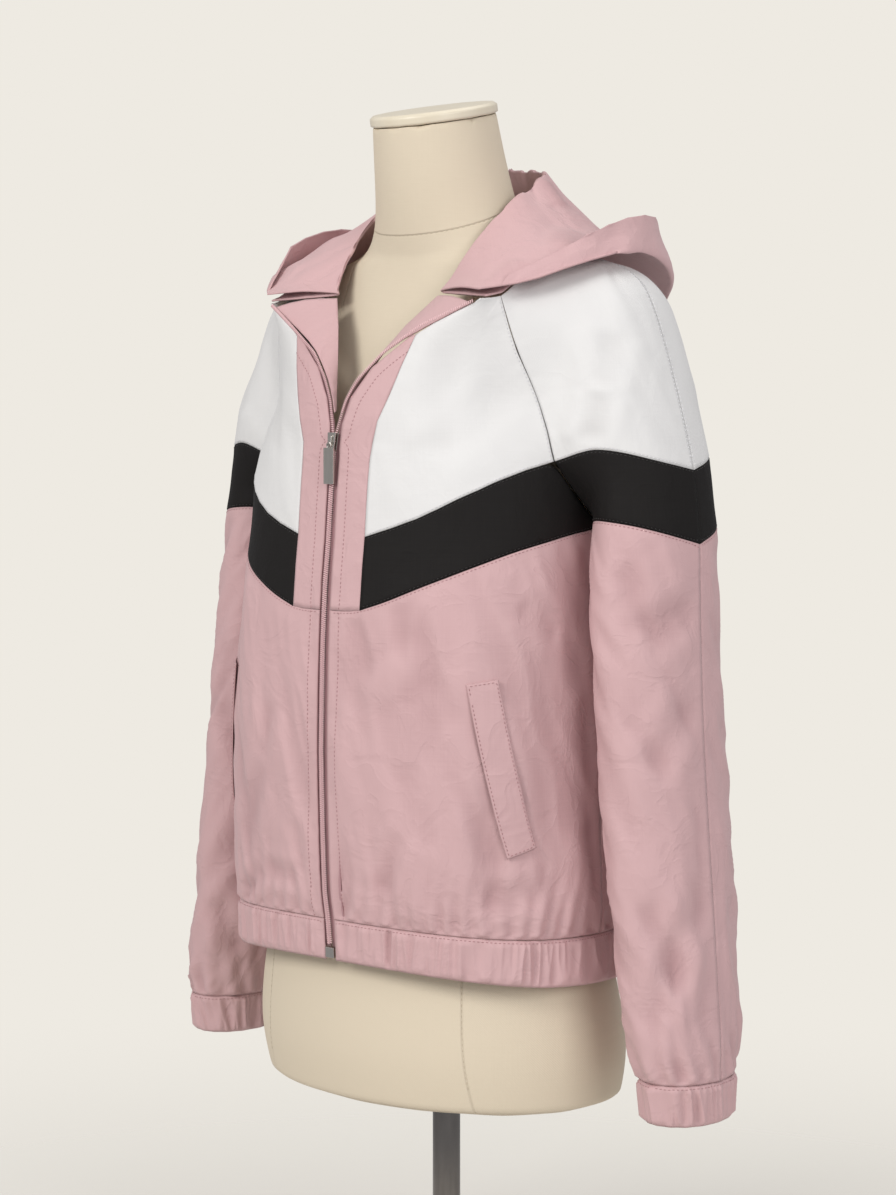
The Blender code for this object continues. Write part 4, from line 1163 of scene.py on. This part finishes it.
@dataclass
class Fronts(SewnAssembly):
    """Both fronts: placket strips, yokes, bands, lower panels and pocket welts."""

    seam_inset: float = 0.0016
    zip_inset: float = 0.0095
    welt_inset: float = 0.0017

    def pieces(self) -> Iterator[SewnPiece]:
        """Gives the pieces of both fronts."""
        zip_row = Stitching(("zip_tape",), self.zip_inset, trim=0.0)
        for side in Side:
            s, creases = side.value, FRONT_CREASES[side]
            yield SewnPiece(
                f"placket_{s}", PINK, (0.035, 0.22), 0.0061, BODY_FRONT, edge_held=True,
                ripple=Ripple(0.0003, 0.02, 0.08), stitching=(zip_row,),
            )
            yield SewnPiece(
                f"front_yoke_{s}", WHITE, (0.157, 0.21), 0.0160, BODY_FRONT, sharp=1.2, edge_held=True,
                ripple=Ripple(0.0010, 0.035, 0.12, 0.5, 0.3), creases=creases,
                stitching=(Stitching(("sleeve_upper", "front_band"), self.seam_inset, WHITE_THREAD),),
            )
            yield SewnPiece(
                f"front_band_{s}", BLACK, (0.21, 0.06), 0.0099, BODY_FRONT, ripple=Ripple(0.0006, 0.03, 0.08),
                stitching=(Stitching(("front_yoke", "front_lower"), self.seam_inset, BLACK_THREAD),),
            )
            yield SewnPiece(
                f"front_lower_{s}", PINK, (0.213, 0.32), 0.0643, BODY_FRONT,
                ripple=Ripple(0.0036, 0.032, 0.10, 0.25, 0.4), creases=creases,
                gathers=(Puckering(("hem_band",), 0.0034, 0.024, 0.014),),
                stitching=(Stitching(("front_band", "placket"), self.seam_inset), zip_row),
            )
            yield SewnPiece(
                f"pocket_welt_{s}", PINK, (0.151, 0.025), 0.0033, BODY_FRONT, "laid", (f"front_lower_{s}",),
                thickness=0.0011, ripple=Ripple(0.0003, 0.02, 0.05), pucker=0.0002, fade=0.006,
                stitching=(Stitching(("front_lower",), self.welt_inset),),
            )


@dataclass
class Back(SewnAssembly):
    """The back's yoke, band and lower panel."""

    seam_inset: float = 0.0016

    def pieces(self) -> Iterator[SewnPiece]:
        """Gives the back's three pieces."""
        yield SewnPiece(
            "back_yoke", WHITE, (0.335, 0.20), 0.0460, BODY_BACK, ripple=Ripple(0.0015, 0.04, 0.12, 0.3, 0.35),
            stitching=(Stitching(("sleeve_upper", "back_band"), self.seam_inset, WHITE_THREAD),),
        )
        yield SewnPiece(
            "back_band", BLACK, (0.42, 0.065), 0.0210, BODY_BACK, ripple=Ripple(0.0006, 0.035, 0.08),
            stitching=(Stitching(("back_yoke", "back_lower"), self.seam_inset, BLACK_THREAD),),
        )
        yield SewnPiece(
            "back_lower", PINK, (0.44, 0.30), 0.1255, BODY_BACK, ripple=Ripple(0.0036, 0.036, 0.12, -0.2, 0.4),
            gathers=(Puckering(("hem_band",), 0.0034, 0.024, 0.015),),
            stitching=(Stitching(("back_band",), self.seam_inset),),
        )


@dataclass
class Sleeves(SewnAssembly):
    """Raglan sleeves: white tops, black bands and pink lower halves."""

    seam_inset: float = 0.0016

    def pieces(self) -> Iterator[SewnPiece]:
        """Gives the pieces of both sleeves, the front half of each first."""
        for side in Side:
            yield from self._half(side, "front", "back", (0.0204, 0.0067, 0.0607), 1.2)
            yield from self._half(side, "back", "front", (0.0198, 0.0064, 0.0603), 0.96)

    def _half(self, side: Side, half: str, other: str, areas: Point, sharp: float) -> Iterator[SewnPiece]:
        """Gives the three pieces of half a sleeve.

        Args:
            side: the sleeve's side.
            half: front or back.
            other: the half on the far side of the shoulder's seam.
            areas: the cloth in the top, the band and the lower half, in square metres.
            sharp: the angle that parts the two skins of the band.

        Yields:
            The pieces, from the shoulder down.
        """
        s, wrap, creases = side.value, sleeve_wrap(side), SLEEVE_CREASES[side]
        shoulder = (f"sleeve_band_{half}", f"sleeve_upper_{other}")
        yield SewnPiece(
            f"sleeve_upper_{half}_{s}", WHITE, (0.128, 0.235), areas[0], wrap,
            ripple=Ripple(0.0014, 0.030, 0.10, 0.4 * side.sign, 0.3), creases=creases,
            stitching=(Stitching(shoulder, self.seam_inset, WHITE_THREAD),),
        )
        yield SewnPiece(
            f"sleeve_band_{half}_{s}", BLACK, (0.105, 0.07), areas[1], wrap, "hung", (f"sleeve_upper_{half}_{s}",),
            sharp=sharp, ripple=Ripple(0.0006, 0.028, 0.07),
            stitching=(Stitching(("sleeve_upper", "sleeve_lower"), self.seam_inset, BLACK_THREAD),),
        )
        yield SewnPiece(
            f"sleeve_lower_{half}_{s}", PINK, (0.16, 0.42), areas[2], wrap, "hung", (f"sleeve_band_{half}_{s}",),
            ripple=Ripple(0.0032, 0.028, 0.085, 0.55 * side.sign, 0.5), creases=creases,
            gathers=(Puckering(("cuff",), 0.0038, 0.030, 0.0135),),
            stitching=(Stitching(("sleeve_band",), self.seam_inset),),
        )


@dataclass
class HoodPieces(SewnAssembly):
    """The hood's two halves and the facings that roll in from the open zip."""

    seam_inset: float = 0.0018

    def pieces(self) -> Iterator[SewnPiece]:
        """Gives the hood's halves and the facings."""
        around = Wrap((0.0, 0.04, 1.0), (0.0, 0.04, 0.8), 0.12, behind=True)
        for side in Side:
            s = side.value
            yield SewnPiece(
                f"hood_{s}", PINK, (0.30, 0.26), 0.0657, around, "folded", ("form_torso", "back_yoke"),
                sharp=3.2, rim=0.0018, edge_held=True, creases=HOOD_CREASES[side],
                ripple=Ripple(0.0017, 0.035, 0.05, 0.2, 0.4), stitching=(Stitching(("hood",), self.seam_inset),),
            )
            yield SewnPiece(
                f"facing_{s}", PINK, (0.034, 0.134), 0.0027, BODY_FRONT, "folded", thickness=0.0010,
                edge_held=True, ripple=Ripple(0.0003, 0.015, 0.05), seam_roll=0.0001, pucker=0.0002, fade=0.006,
            )


@dataclass
class Elastics(SewnAssembly):
    """The gathered hem band and cuffs."""

    stitch_inset: float = 0.0022
    cuff_x: float = 0.235

    def pieces(self) -> Iterator[SewnPiece]:
        """Gives the hem band and both cuffs."""
        yield SewnPiece(
            "hem_band", PINK, (1.00, 0.040), 0.0400, BODY_BACK, "gathered", swell=0.0010,
            ripple=Ripple(0.0042, 0.0120, 0.10, 0.05, 0.5), pucker=0.0006, seam_roll=0.0004, fade=0.005,
            stitching=(Stitching(("front_lower", "back_lower"), self.stitch_inset),),
        )
        for side in Side:
            x = side.sign * self.cuff_x
            yield SewnPiece(
                f"cuff_{side.value}", PINK, (0.26, 0.034), 0.0086, Wrap((x, 0.0, 0.30), (x, 0.0, 0.25), 0.032),
                "gathered", (f"sleeve_lower_front_{side.value}",), swell=0.0006,
                ripple=Ripple(0.0042, 0.0100, 0.08, 0.05, 0.5), pucker=0.0006, seam_roll=0.0004, fade=0.004,
                stitching=(Stitching(("sleeve_lower",), self.stitch_inset),),
            )


def add_block(mesh: bmesh.types.BMesh, centre: Sequence[float], size: Sequence[float]) -> list[bmesh.types.BMVert]:
    """Adds a box, and gives its corners."""
    matrix = Matrix.Translation(centre) @ Matrix.Diagonal((*size, 1.0))
    return bmesh.ops.create_cube(mesh, size=1.0, matrix=matrix)["verts"]


def sharp_edges(mesh: bmesh.types.BMesh) -> list[bmesh.types.BMEdge]:
    """Finds the edges that stand out."""
    return [e for e in mesh.edges if len(e.link_faces) == 2 and e.calc_face_angle(0.0) > 1.2]


def rounded(mesh: bmesh.types.BMesh, edges: Iterable[bmesh.types.BMEdge], width: float) -> None:
    """Rounds some edges of a mesh."""
    bmesh.ops.bevel(
        mesh, geom=list(edges), offset=width, affect="EDGES", segments=2, profile=0.5, material=-1,
    )


def spun(mesh: bmesh.types.BMesh, geometry: list, steps: int) -> None:
    """Turns some geometry once round the upright axis, and joins the ends."""
    bmesh.ops.spin(
        mesh, geom=geometry, cent=(0, 0, 0), axis=(0, 0, 1), angle=2 * math.pi, steps=steps, use_merge=True,
    )


@dataclass
class Zip:
    """The open-ended coil zip: tapes, coils, slider, tab and stop."""

    pitch: float = 0.00155
    tooth: Point = (0.0036, 0.00105, 0.0016)
    tooth_tilt: float = 0.16
    tooth_rise: float = 0.0006
    closed_reach: float = 0.0011
    open_reach: float = 0.0004
    closed: tuple[tuple[float, float], ...] = (
        (-0.1330, 0.3760), (-0.1350, 0.396), (-0.1385, 0.416), (-0.1405, 0.46), (-0.1420, 0.524), (-0.1400, 0.60),
        (-0.1370, 0.65), (-0.1335, 0.679), (-0.1312, 0.707), (-0.1285, 0.738), (-0.1268, 0.751),
    )
    opened: tuple[Point, ...] = (
        (0.0012, -0.1262, 0.760), (0.0075, -0.1225, 0.785), (0.0156, -0.1191, 0.80), (0.0344, -0.1111, 0.82),
        (0.0653, -0.1032, 0.84), (0.1030, -0.0874, 0.858),
    )
    slider_z: float = 0.7540
    slider_lean: float = -0.10
    slider_width: float = 0.0082
    slider_height: float = 0.0135
    slider_narrowing: float = 0.72
    crown: Point = (0.0024, 0.0014, 0.0100)
    crown_z: float = 0.0004
    crown_taper: float = 0.62
    wire: float = 0.00055
    link_radius: float = 0.0019
    link_stretch: float = 1.25
    link_drop: float = 0.0026
    tab_width: float = 0.0100
    tab_thickness: float = 0.0017
    tab_drop: float = 0.0042
    tab_border: float = 0.0013
    tab_sink: float = 0.00035

    def build(self, shading: Shading, neighbours: Neighbours) -> None:
        """Makes the whole zip.

        Args:
            shading: the shared node groups.
            neighbours: the search trees of the CAD nodes.
        """
        for side in Side:
            s = side.value
            SewnPiece(
                f"zip_tape_{s}", TAPE, (0.0145, 0.53), 0.0065, BODY_FRONT, "hung", (f"front_lower_{s}", f"placket_{s}"),
                thickness=0.0008, sharp=1.2, edge_held=True, seam_roll=0.0, pucker=0.0, levels=2,
            ).build(shading, neighbours)
            self._coil(side, shading)
        self._slider(shading)
        self._tab(shading)
        self._stop(shading)

    def _line(self, side: Side) -> np.ndarray:
        """The points of one side's coil, from the hem up."""
        low = [(0.0, y, z) for y, z in self.closed]
        high = [(side.sign * x, y, z) for x, y, z in self.opened]
        return np.array(low + high)

    def _stations(self, side: Side) -> np.ndarray:
        """The places of one side's teeth, evenly spaced on a smoothed line."""
        line = self._line(side)
        steps = np.linalg.norm(np.diff(line, axis=0), axis=1)
        runs = np.concatenate([[0.0], np.cumsum(steps)])
        stations = np.arange(0.0, runs[-1], self.pitch)
        smooth = np.array([[np.interp(at, runs, line[:, k]) for k in range(3)] for at in stations])
        for _ in range(10):
            smooth[1:-1] = (smooth[:-2] + 2 * smooth[1:-1] + smooth[2:]) / 4
        return smooth

    def _coil(self, side: Side, shading: Shading) -> None:
        """Makes one side's coil of teeth, which mesh with the other side's where the zip is closed.

        Args:
            side: the side.
            shading: the shared node groups.
        """
        smooth = self._stations(side)
        mesh = bmesh.new()
        halves = tuple(x / 2 for x in self.tooth)
        for index in range(1, len(smooth) - 1):
            point = Vector(smooth[index])
            along = Vector(smooth[index + 1] - smooth[index - 1]).normalized()
            outward = Vector((side.sign * 0.10, -1.0, 0.18 if point.z > 0.74 else 0.0)).normalized()
            across = outward.cross(along).normalized() * side.sign
            outward = along.cross(across).normalized() * side.sign
            closed = point.z < self.slider_z
            shift = self.pitch / 2 if closed and side is Side.LEFT else 0.0
            reach = self.closed_reach if closed else self.open_reach
            away = Vector((side.sign, 0.0, 0.0)) if closed else across * (1 if across.x * side.sign > 0 else -1)
            centre = point + along * shift + away * reach + outward * self.tooth_rise
            turn = Matrix((across, along, across.cross(along))).transposed().to_4x4()
            tilt = Matrix.Rotation(self.tooth_tilt * side.sign, 4, "Z")
            add_bead(mesh, Matrix.Translation(centre) @ turn @ tilt, halves)
        data = from_bmesh(mesh, f"zip_coil_{side.value}")
        add_cloth_run(data, BODY_FRONT)
        placed(f"zip_coil_{side.value}", data, COIL, shading)
        LOG.info("zip_coil_%s: %d teeth", side.value, len(smooth) - 2)

    def _slider(self, shading: Shading) -> None:
        """The slider's two plates, the post between them and the crown that holds the tab."""
        low, high = (Vector(c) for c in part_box("zip_slider"))
        mesh = bmesh.new()
        for y, thickness in ((-0.0012, 0.0011), (0.0018, 0.0010)):
            for vertex in add_block(mesh, (0, y, 0), (self.slider_width, thickness, self.slider_height)):
                if vertex.co.z < 0:
                    vertex.co.x *= self.slider_narrowing
        add_block(mesh, (0, 0.0003, 0.0045), (0.0022, 0.0030, 0.0035))
        for vertex in add_block(mesh, (0, -0.0024, self.crown_z), self.crown):
            if vertex.co.y < -0.0026:
                vertex.co.z = self.crown_z + (vertex.co.z - self.crown_z) * self.crown_taper
        rounded(mesh, mesh.edges, 0.00035)
        lean = Matrix.Translation((low + high) / 2) @ Matrix.Rotation(self.slider_lean, 4, "X")
        bmesh.ops.transform(mesh, matrix=lean, verts=mesh.verts)
        data = from_bmesh(mesh, "zip_slider_body")
        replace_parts(placed("zip_slider_body", data, NICKEL, shading, smooth=False), "zip_slider")

    def _tab(self, shading: Shading) -> None:
        """The pull tab: a link, and a plain plate with a sunk field on each face."""
        low, high = (Vector(c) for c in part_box("zip_pull"))
        front = (low.y + high.y) / 2 - 0.0002
        upright = Matrix.Rotation(math.pi / 2, 4, "X")
        mesh = bmesh.new()
        ring = bmesh.ops.create_circle(
            mesh, segments=10, radius=self.wire, matrix=Matrix.Translation((self.link_radius, 0, 0)) @ upright,
        )
        spun(mesh, list(mesh.edges) + ring["verts"], 20)
        place = Matrix.Translation((0, front, high.z - self.link_drop)) @ Matrix.Diagonal((1, 1, self.link_stretch, 1))
        bmesh.ops.transform(mesh, matrix=place @ upright, verts=mesh.verts)
        bmesh.ops.remove_doubles(mesh, verts=mesh.verts, dist=1e-6)
        link = placed("zip_link", from_bmesh(mesh, "zip_link"), NICKEL, shading, TAB)
        mesh = bmesh.new()
        height = high.z - self.tab_drop - low.z
        add_block(mesh, (0, front, low.z + height / 2), (self.tab_width, self.tab_thickness, height))
        for face in [f for f in mesh.faces if abs(f.normal.y) > 0.9]:
            bmesh.ops.inset_individual(mesh, faces=[face], thickness=self.tab_border, depth=0.0)
            bmesh.ops.translate(mesh, verts=list(face.verts), vec=face.normal * -self.tab_sink)
        rounded(mesh, sharp_edges(mesh), 0.00035)
        plate = placed("zip_tab", from_bmesh(mesh, "zip_tab"), NICKEL, shading, TAB, smooth=False)
        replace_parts(plate, "zip_pull")
        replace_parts(link, "zip_pull")

    def _stop(self, shading: Shading) -> None:
        """The box that closes the zip's lower end."""
        low, high = (Vector(c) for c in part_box("zip_stop"))
        mesh = bmesh.new()
        add_block(mesh, (low + high) / 2, high - low)
        front = [f for f in mesh.faces if f.normal.y < -0.9]
        bmesh.ops.inset_region(mesh, faces=front, thickness=0.0009, depth=-0.0003)
        rounded(mesh, sharp_edges(mesh), 0.0004)
        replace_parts(placed("zip_box", from_bmesh(mesh, "zip_box"), NICKEL, shading, smooth=False), "zip_stop")


# The dress form and its stand


@dataclass
class DressForm:
    """The limbless form in its linen cover, with the cap on its neck."""

    slack: float = 0.0005
    side_seam_heights: tuple[float, float] = (0.27, 0.90)
    neck_seam_heights: tuple[float, float] = (0.86, math.inf)
    stitch_pitch: float = 0.0042
    stitch_length: float = 0.0024
    thread_width: float = 0.0005

    def build(self, shading: Shading) -> None:
        """Makes the form and its cap.

        Args:
            shading: the shared node groups.
        """
        coarse = source_mesh("form_torso")
        crease_sharp_edges(coarse)
        data = refined(coarse, "form_cover", 3)
        places = [v.co.copy() for v in data.vertices]
        normals = [v.normal.copy() for v in data.vertices]
        for vertex, place, normal in zip(data.vertices, places, normals):
            vertex.co = place + normal * (noise.noise(place * 14.0) * self.slack)
        data.update()
        # The cover gets no painted light or shade: the attribute is left at zero.
        data.attributes.new("painted_light_and_shade", "FLOAT", "POINT")
        add_cloth_run(data, BODY_FRONT)
        lines = []
        for seam, heights in ((SIDE_SEAM, self.side_seam_heights), (NECK_SEAM, self.neck_seam_heights)):
            x, y, z, level = seam
            values = np.array([x * abs(p.x) + y * p.y + z * p.z for p in places])
            shown = np.array([heights[0] < v.co.z < heights[1] for v in data.vertices])
            lines += contour(data, np.where(shown, values, np.nan), level)
        stitches = stitch_mesh("form_stitches", lines, self.stitch_pitch, self.stitch_length, width=self.thread_width)
        if stitches is not None:
            add_cloth_run(stitches, BODY_FRONT)
            placed("form_stitches", stitches, COVER_THREAD, shading)
        piece = placed("form_cover", data, COVER, shading)
        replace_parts(piece, "form_torso")
        coarse = source_mesh("neck_cap")
        crease_sharp_edges(coarse, 0.6)
        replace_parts(placed("neck_cap_turned", refined(coarse, "neck_cap_turned", 2), PAINT, shading), "neck_cap")


@dataclass
class Stand:
    """The metal pole and its round base plate."""

    pole_radius: float = 0.0109
    pole_top: float = 0.2495
    collar_radius: float = 0.0118
    collar_height: float = 0.012
    joint_z: float = 0.120
    joint_depth: float = 0.0008
    base_radius: float = 0.1395
    base_height: float = 0.010
    rounding: float = 0.0004

    @staticmethod
    def _turned(name: str, profile: Sequence[tuple[float, float]], steps: int) -> bpy.types.Mesh:
        """Turns a profile of radius and height about the upright axis.

        Args:
            name: the mesh's name.
            profile: the points, closed at both ends on the axis.
            steps: how many faces go round.

        Returns:
            The turned mesh.
        """
        mesh = bmesh.new()
        points = [mesh.verts.new((r, 0.0, z)) for r, z in profile]
        spun(mesh, points + [mesh.edges.new(pair) for pair in zip(points, points[1:])], steps)
        bmesh.ops.remove_doubles(mesh, verts=mesh.verts, dist=1e-6)
        return from_bmesh(mesh, name)

    def build(self, shading: Shading) -> None:
        """Makes the pole and the base.

        Args:
            shading: the shared node groups.
        """
        r, h = self.base_radius, self.base_height
        plate = [
            (0.0, 0.0), (r - 0.002, 0.0), (r, 0.0015), (r, h - 0.004), (r - 0.0015, h - 0.0018),
            (r - 0.004, h - 0.0008), (0.05, h - 0.0002), (0.018, h), (0.0, h),
        ]
        p, c, top = self.pole_radius, self.collar_radius, h + self.collar_height
        j, sunk = self.joint_z, p - self.joint_depth
        tube = [
            (0.0, h), (c, h), (c, top), (c - 0.0006, top + 0.001), (p, top + 0.0015), (p, j), (sunk, j + 0.0005),
            (sunk, j + 0.0018), (p, j + 0.0023), (p, self.pole_top), (0.0, self.pole_top),
        ]
        for name, profile, steps, node in (("base_plate", plate, 96, "base"), ("pole_tube", tube, 48, "pole")):
            piece = placed(name, self._turned(name, profile, steps), CHROME, shading)
            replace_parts(piece, node)
            edges = piece.modifiers.new("edges", "BEVEL")
            edges.width = self.rounding
            edges.segments = 2
            edges.limit_method = "ANGLE"
            edges.angle_limit = 0.6


# The studio


@dataclass
class Studio:
    """The camera, the lamps, the pale floor and the air round them."""

    azimuth: float = 41.0
    distance: float = 2.25
    height: float = 0.80
    pitch: float = 4.31
    lens: float = 87.15
    sensor: float = 36.0
    shift: float = 0.00126
    aim: Point = (0.0, 0.0, 0.65)
    backdrop: Colour = (0.855, 0.822, 0.760)
    floor: Colour = (0.840, 0.810, 0.755)
    floor_radius: float = 1.6
    floor_full: float = 0.35
    floor_fade: float = 1.1
    air: Colour = (0.97, 0.965, 0.98)
    air_strength: float = 0.46

    def build(self) -> None:
        """Makes the camera, the lamps, the floor and the air."""
        self._camera()
        self._lamp("key", (-0.2, -2.5, 2.0), 1.1, 45.0, (1.0, 0.985, 0.955))
        self._lamp("fill", (2.5, -0.9, 1.5), 1.3, 27.0, (1.0, 0.99, 0.985))
        self._lamp("top", (0.2, 0.5, 2.4), 1.4, 8.0, (1.0, 0.99, 0.97))
        self._floor()
        self._air()

    def _camera(self) -> None:
        """Places the camera, level but for a small tilt down."""
        turn = math.radians(self.azimuth)
        data = bpy.data.cameras.new("camera")
        data.lens = self.lens
        data.sensor_width = self.sensor
        data.shift_x = self.shift
        data.clip_start = 0.05
        camera = bpy.data.objects.new("camera", data)
        camera.location = (self.distance * math.sin(turn), -self.distance * math.cos(turn), self.height)
        camera.rotation_euler = (math.radians(90 - self.pitch), 0.0, turn)
        bpy.context.scene.collection.objects.link(camera)
        bpy.context.scene.camera = camera

    def _lamp(self, name: str, place: Point, size: float, power: float, colour: Colour) -> None:
        """Adds one soft square lamp that faces the jacket.

        Args:
            name: the lamp's name.
            place: where it is.
            size: its width.
            power: its watts.
            colour: its colour.
        """
        data = bpy.data.lights.new(name, "AREA")
        data.shape = "SQUARE"
        data.size = size
        data.energy = power
        data.color = colour
        lamp = bpy.data.objects.new(name, data)
        lamp.location = place
        lamp.rotation_euler = (Vector(self.aim) - Vector(place)).to_track_quat("-Z", "Y").to_euler()
        bpy.context.scene.collection.objects.link(lamp)

    def _floor(self) -> None:
        """A round pale floor that fades out into the air."""
        mesh = bmesh.new()
        bmesh.ops.create_circle(mesh, cap_ends=True, segments=96, radius=self.floor_radius)
        data = from_bmesh(mesh, "studio_floor")
        material, wires, shader = new_material("studio_floor")
        maths, place = wires.maths, wires.add("TexCoord").outputs["Object"]
        span = wires.add("VectorMath", Vector=place)
        span.operation = "LENGTH"
        past = maths("DIVIDE", maths("SUBTRACT", span.outputs["Value"], self.floor_full), self.floor_fade)
        fade = wires.clamped(maths("SUBTRACT", 1.0, past))
        darker = tuple(x * 0.97 for x in self.floor)
        wires.fill(shader, {
            "Base Color": wires.mixed(wires.noise(place, 5.0), self.floor, darker),
            "Roughness": 0.9,
            "Alpha": maths("MULTIPLY", fade, fade),
        })
        floor = bpy.data.objects.new("studio_floor", data)
        bpy.context.scene.collection.objects.link(floor)
        data.materials.append(material)

    def _air(self) -> None:
        """The pale backdrop, which lights the cloth less than it shows."""
        scene = bpy.context.scene
        scene.world = bpy.data.worlds.new("studio")
        scene.world.use_nodes = True
        tree = scene.world.node_tree
        tree.nodes.clear()
        wires = Wiring(tree)
        seen = wires.add("Background", Color=(*self.backdrop, 1.0), Strength=1.0)
        light = wires.add("Background", Color=(*self.air, 1.0), Strength=self.air_strength)
        path, mix, sink = wires.add("LightPath"), wires.add("MixShader"), wires.add("OutputWorld")
        for socket, value in zip(mix.inputs, (path.outputs["Is Camera Ray"], light.outputs[0], seen.outputs[0])):
            tree.links.new(value, socket)
        tree.links.new(mix.outputs[0], sink.inputs[0])
        scene.view_settings.view_transform = "Standard"
        scene.view_settings.look = "None"


def main() -> None:
    """Builds every sub-assembly in order."""
    logging.basicConfig(level=logging.INFO, format="%(name)s: %(message)s", stream=sys.stdout)
    shading = Shading()
    neighbours = Neighbours()
    for part in (Fronts(), Back(), Sleeves(), HoodPieces(), Elastics(), Zip()):
        part.build(shading, neighbours)
        LOG.info("%s is built", type(part).__name__)
    for part in (DressForm(), Stand()):
        part.build(shading)
        LOG.info("%s is built", type(part).__name__)
    Studio().build()


if __name__ == "__main__":
    main()
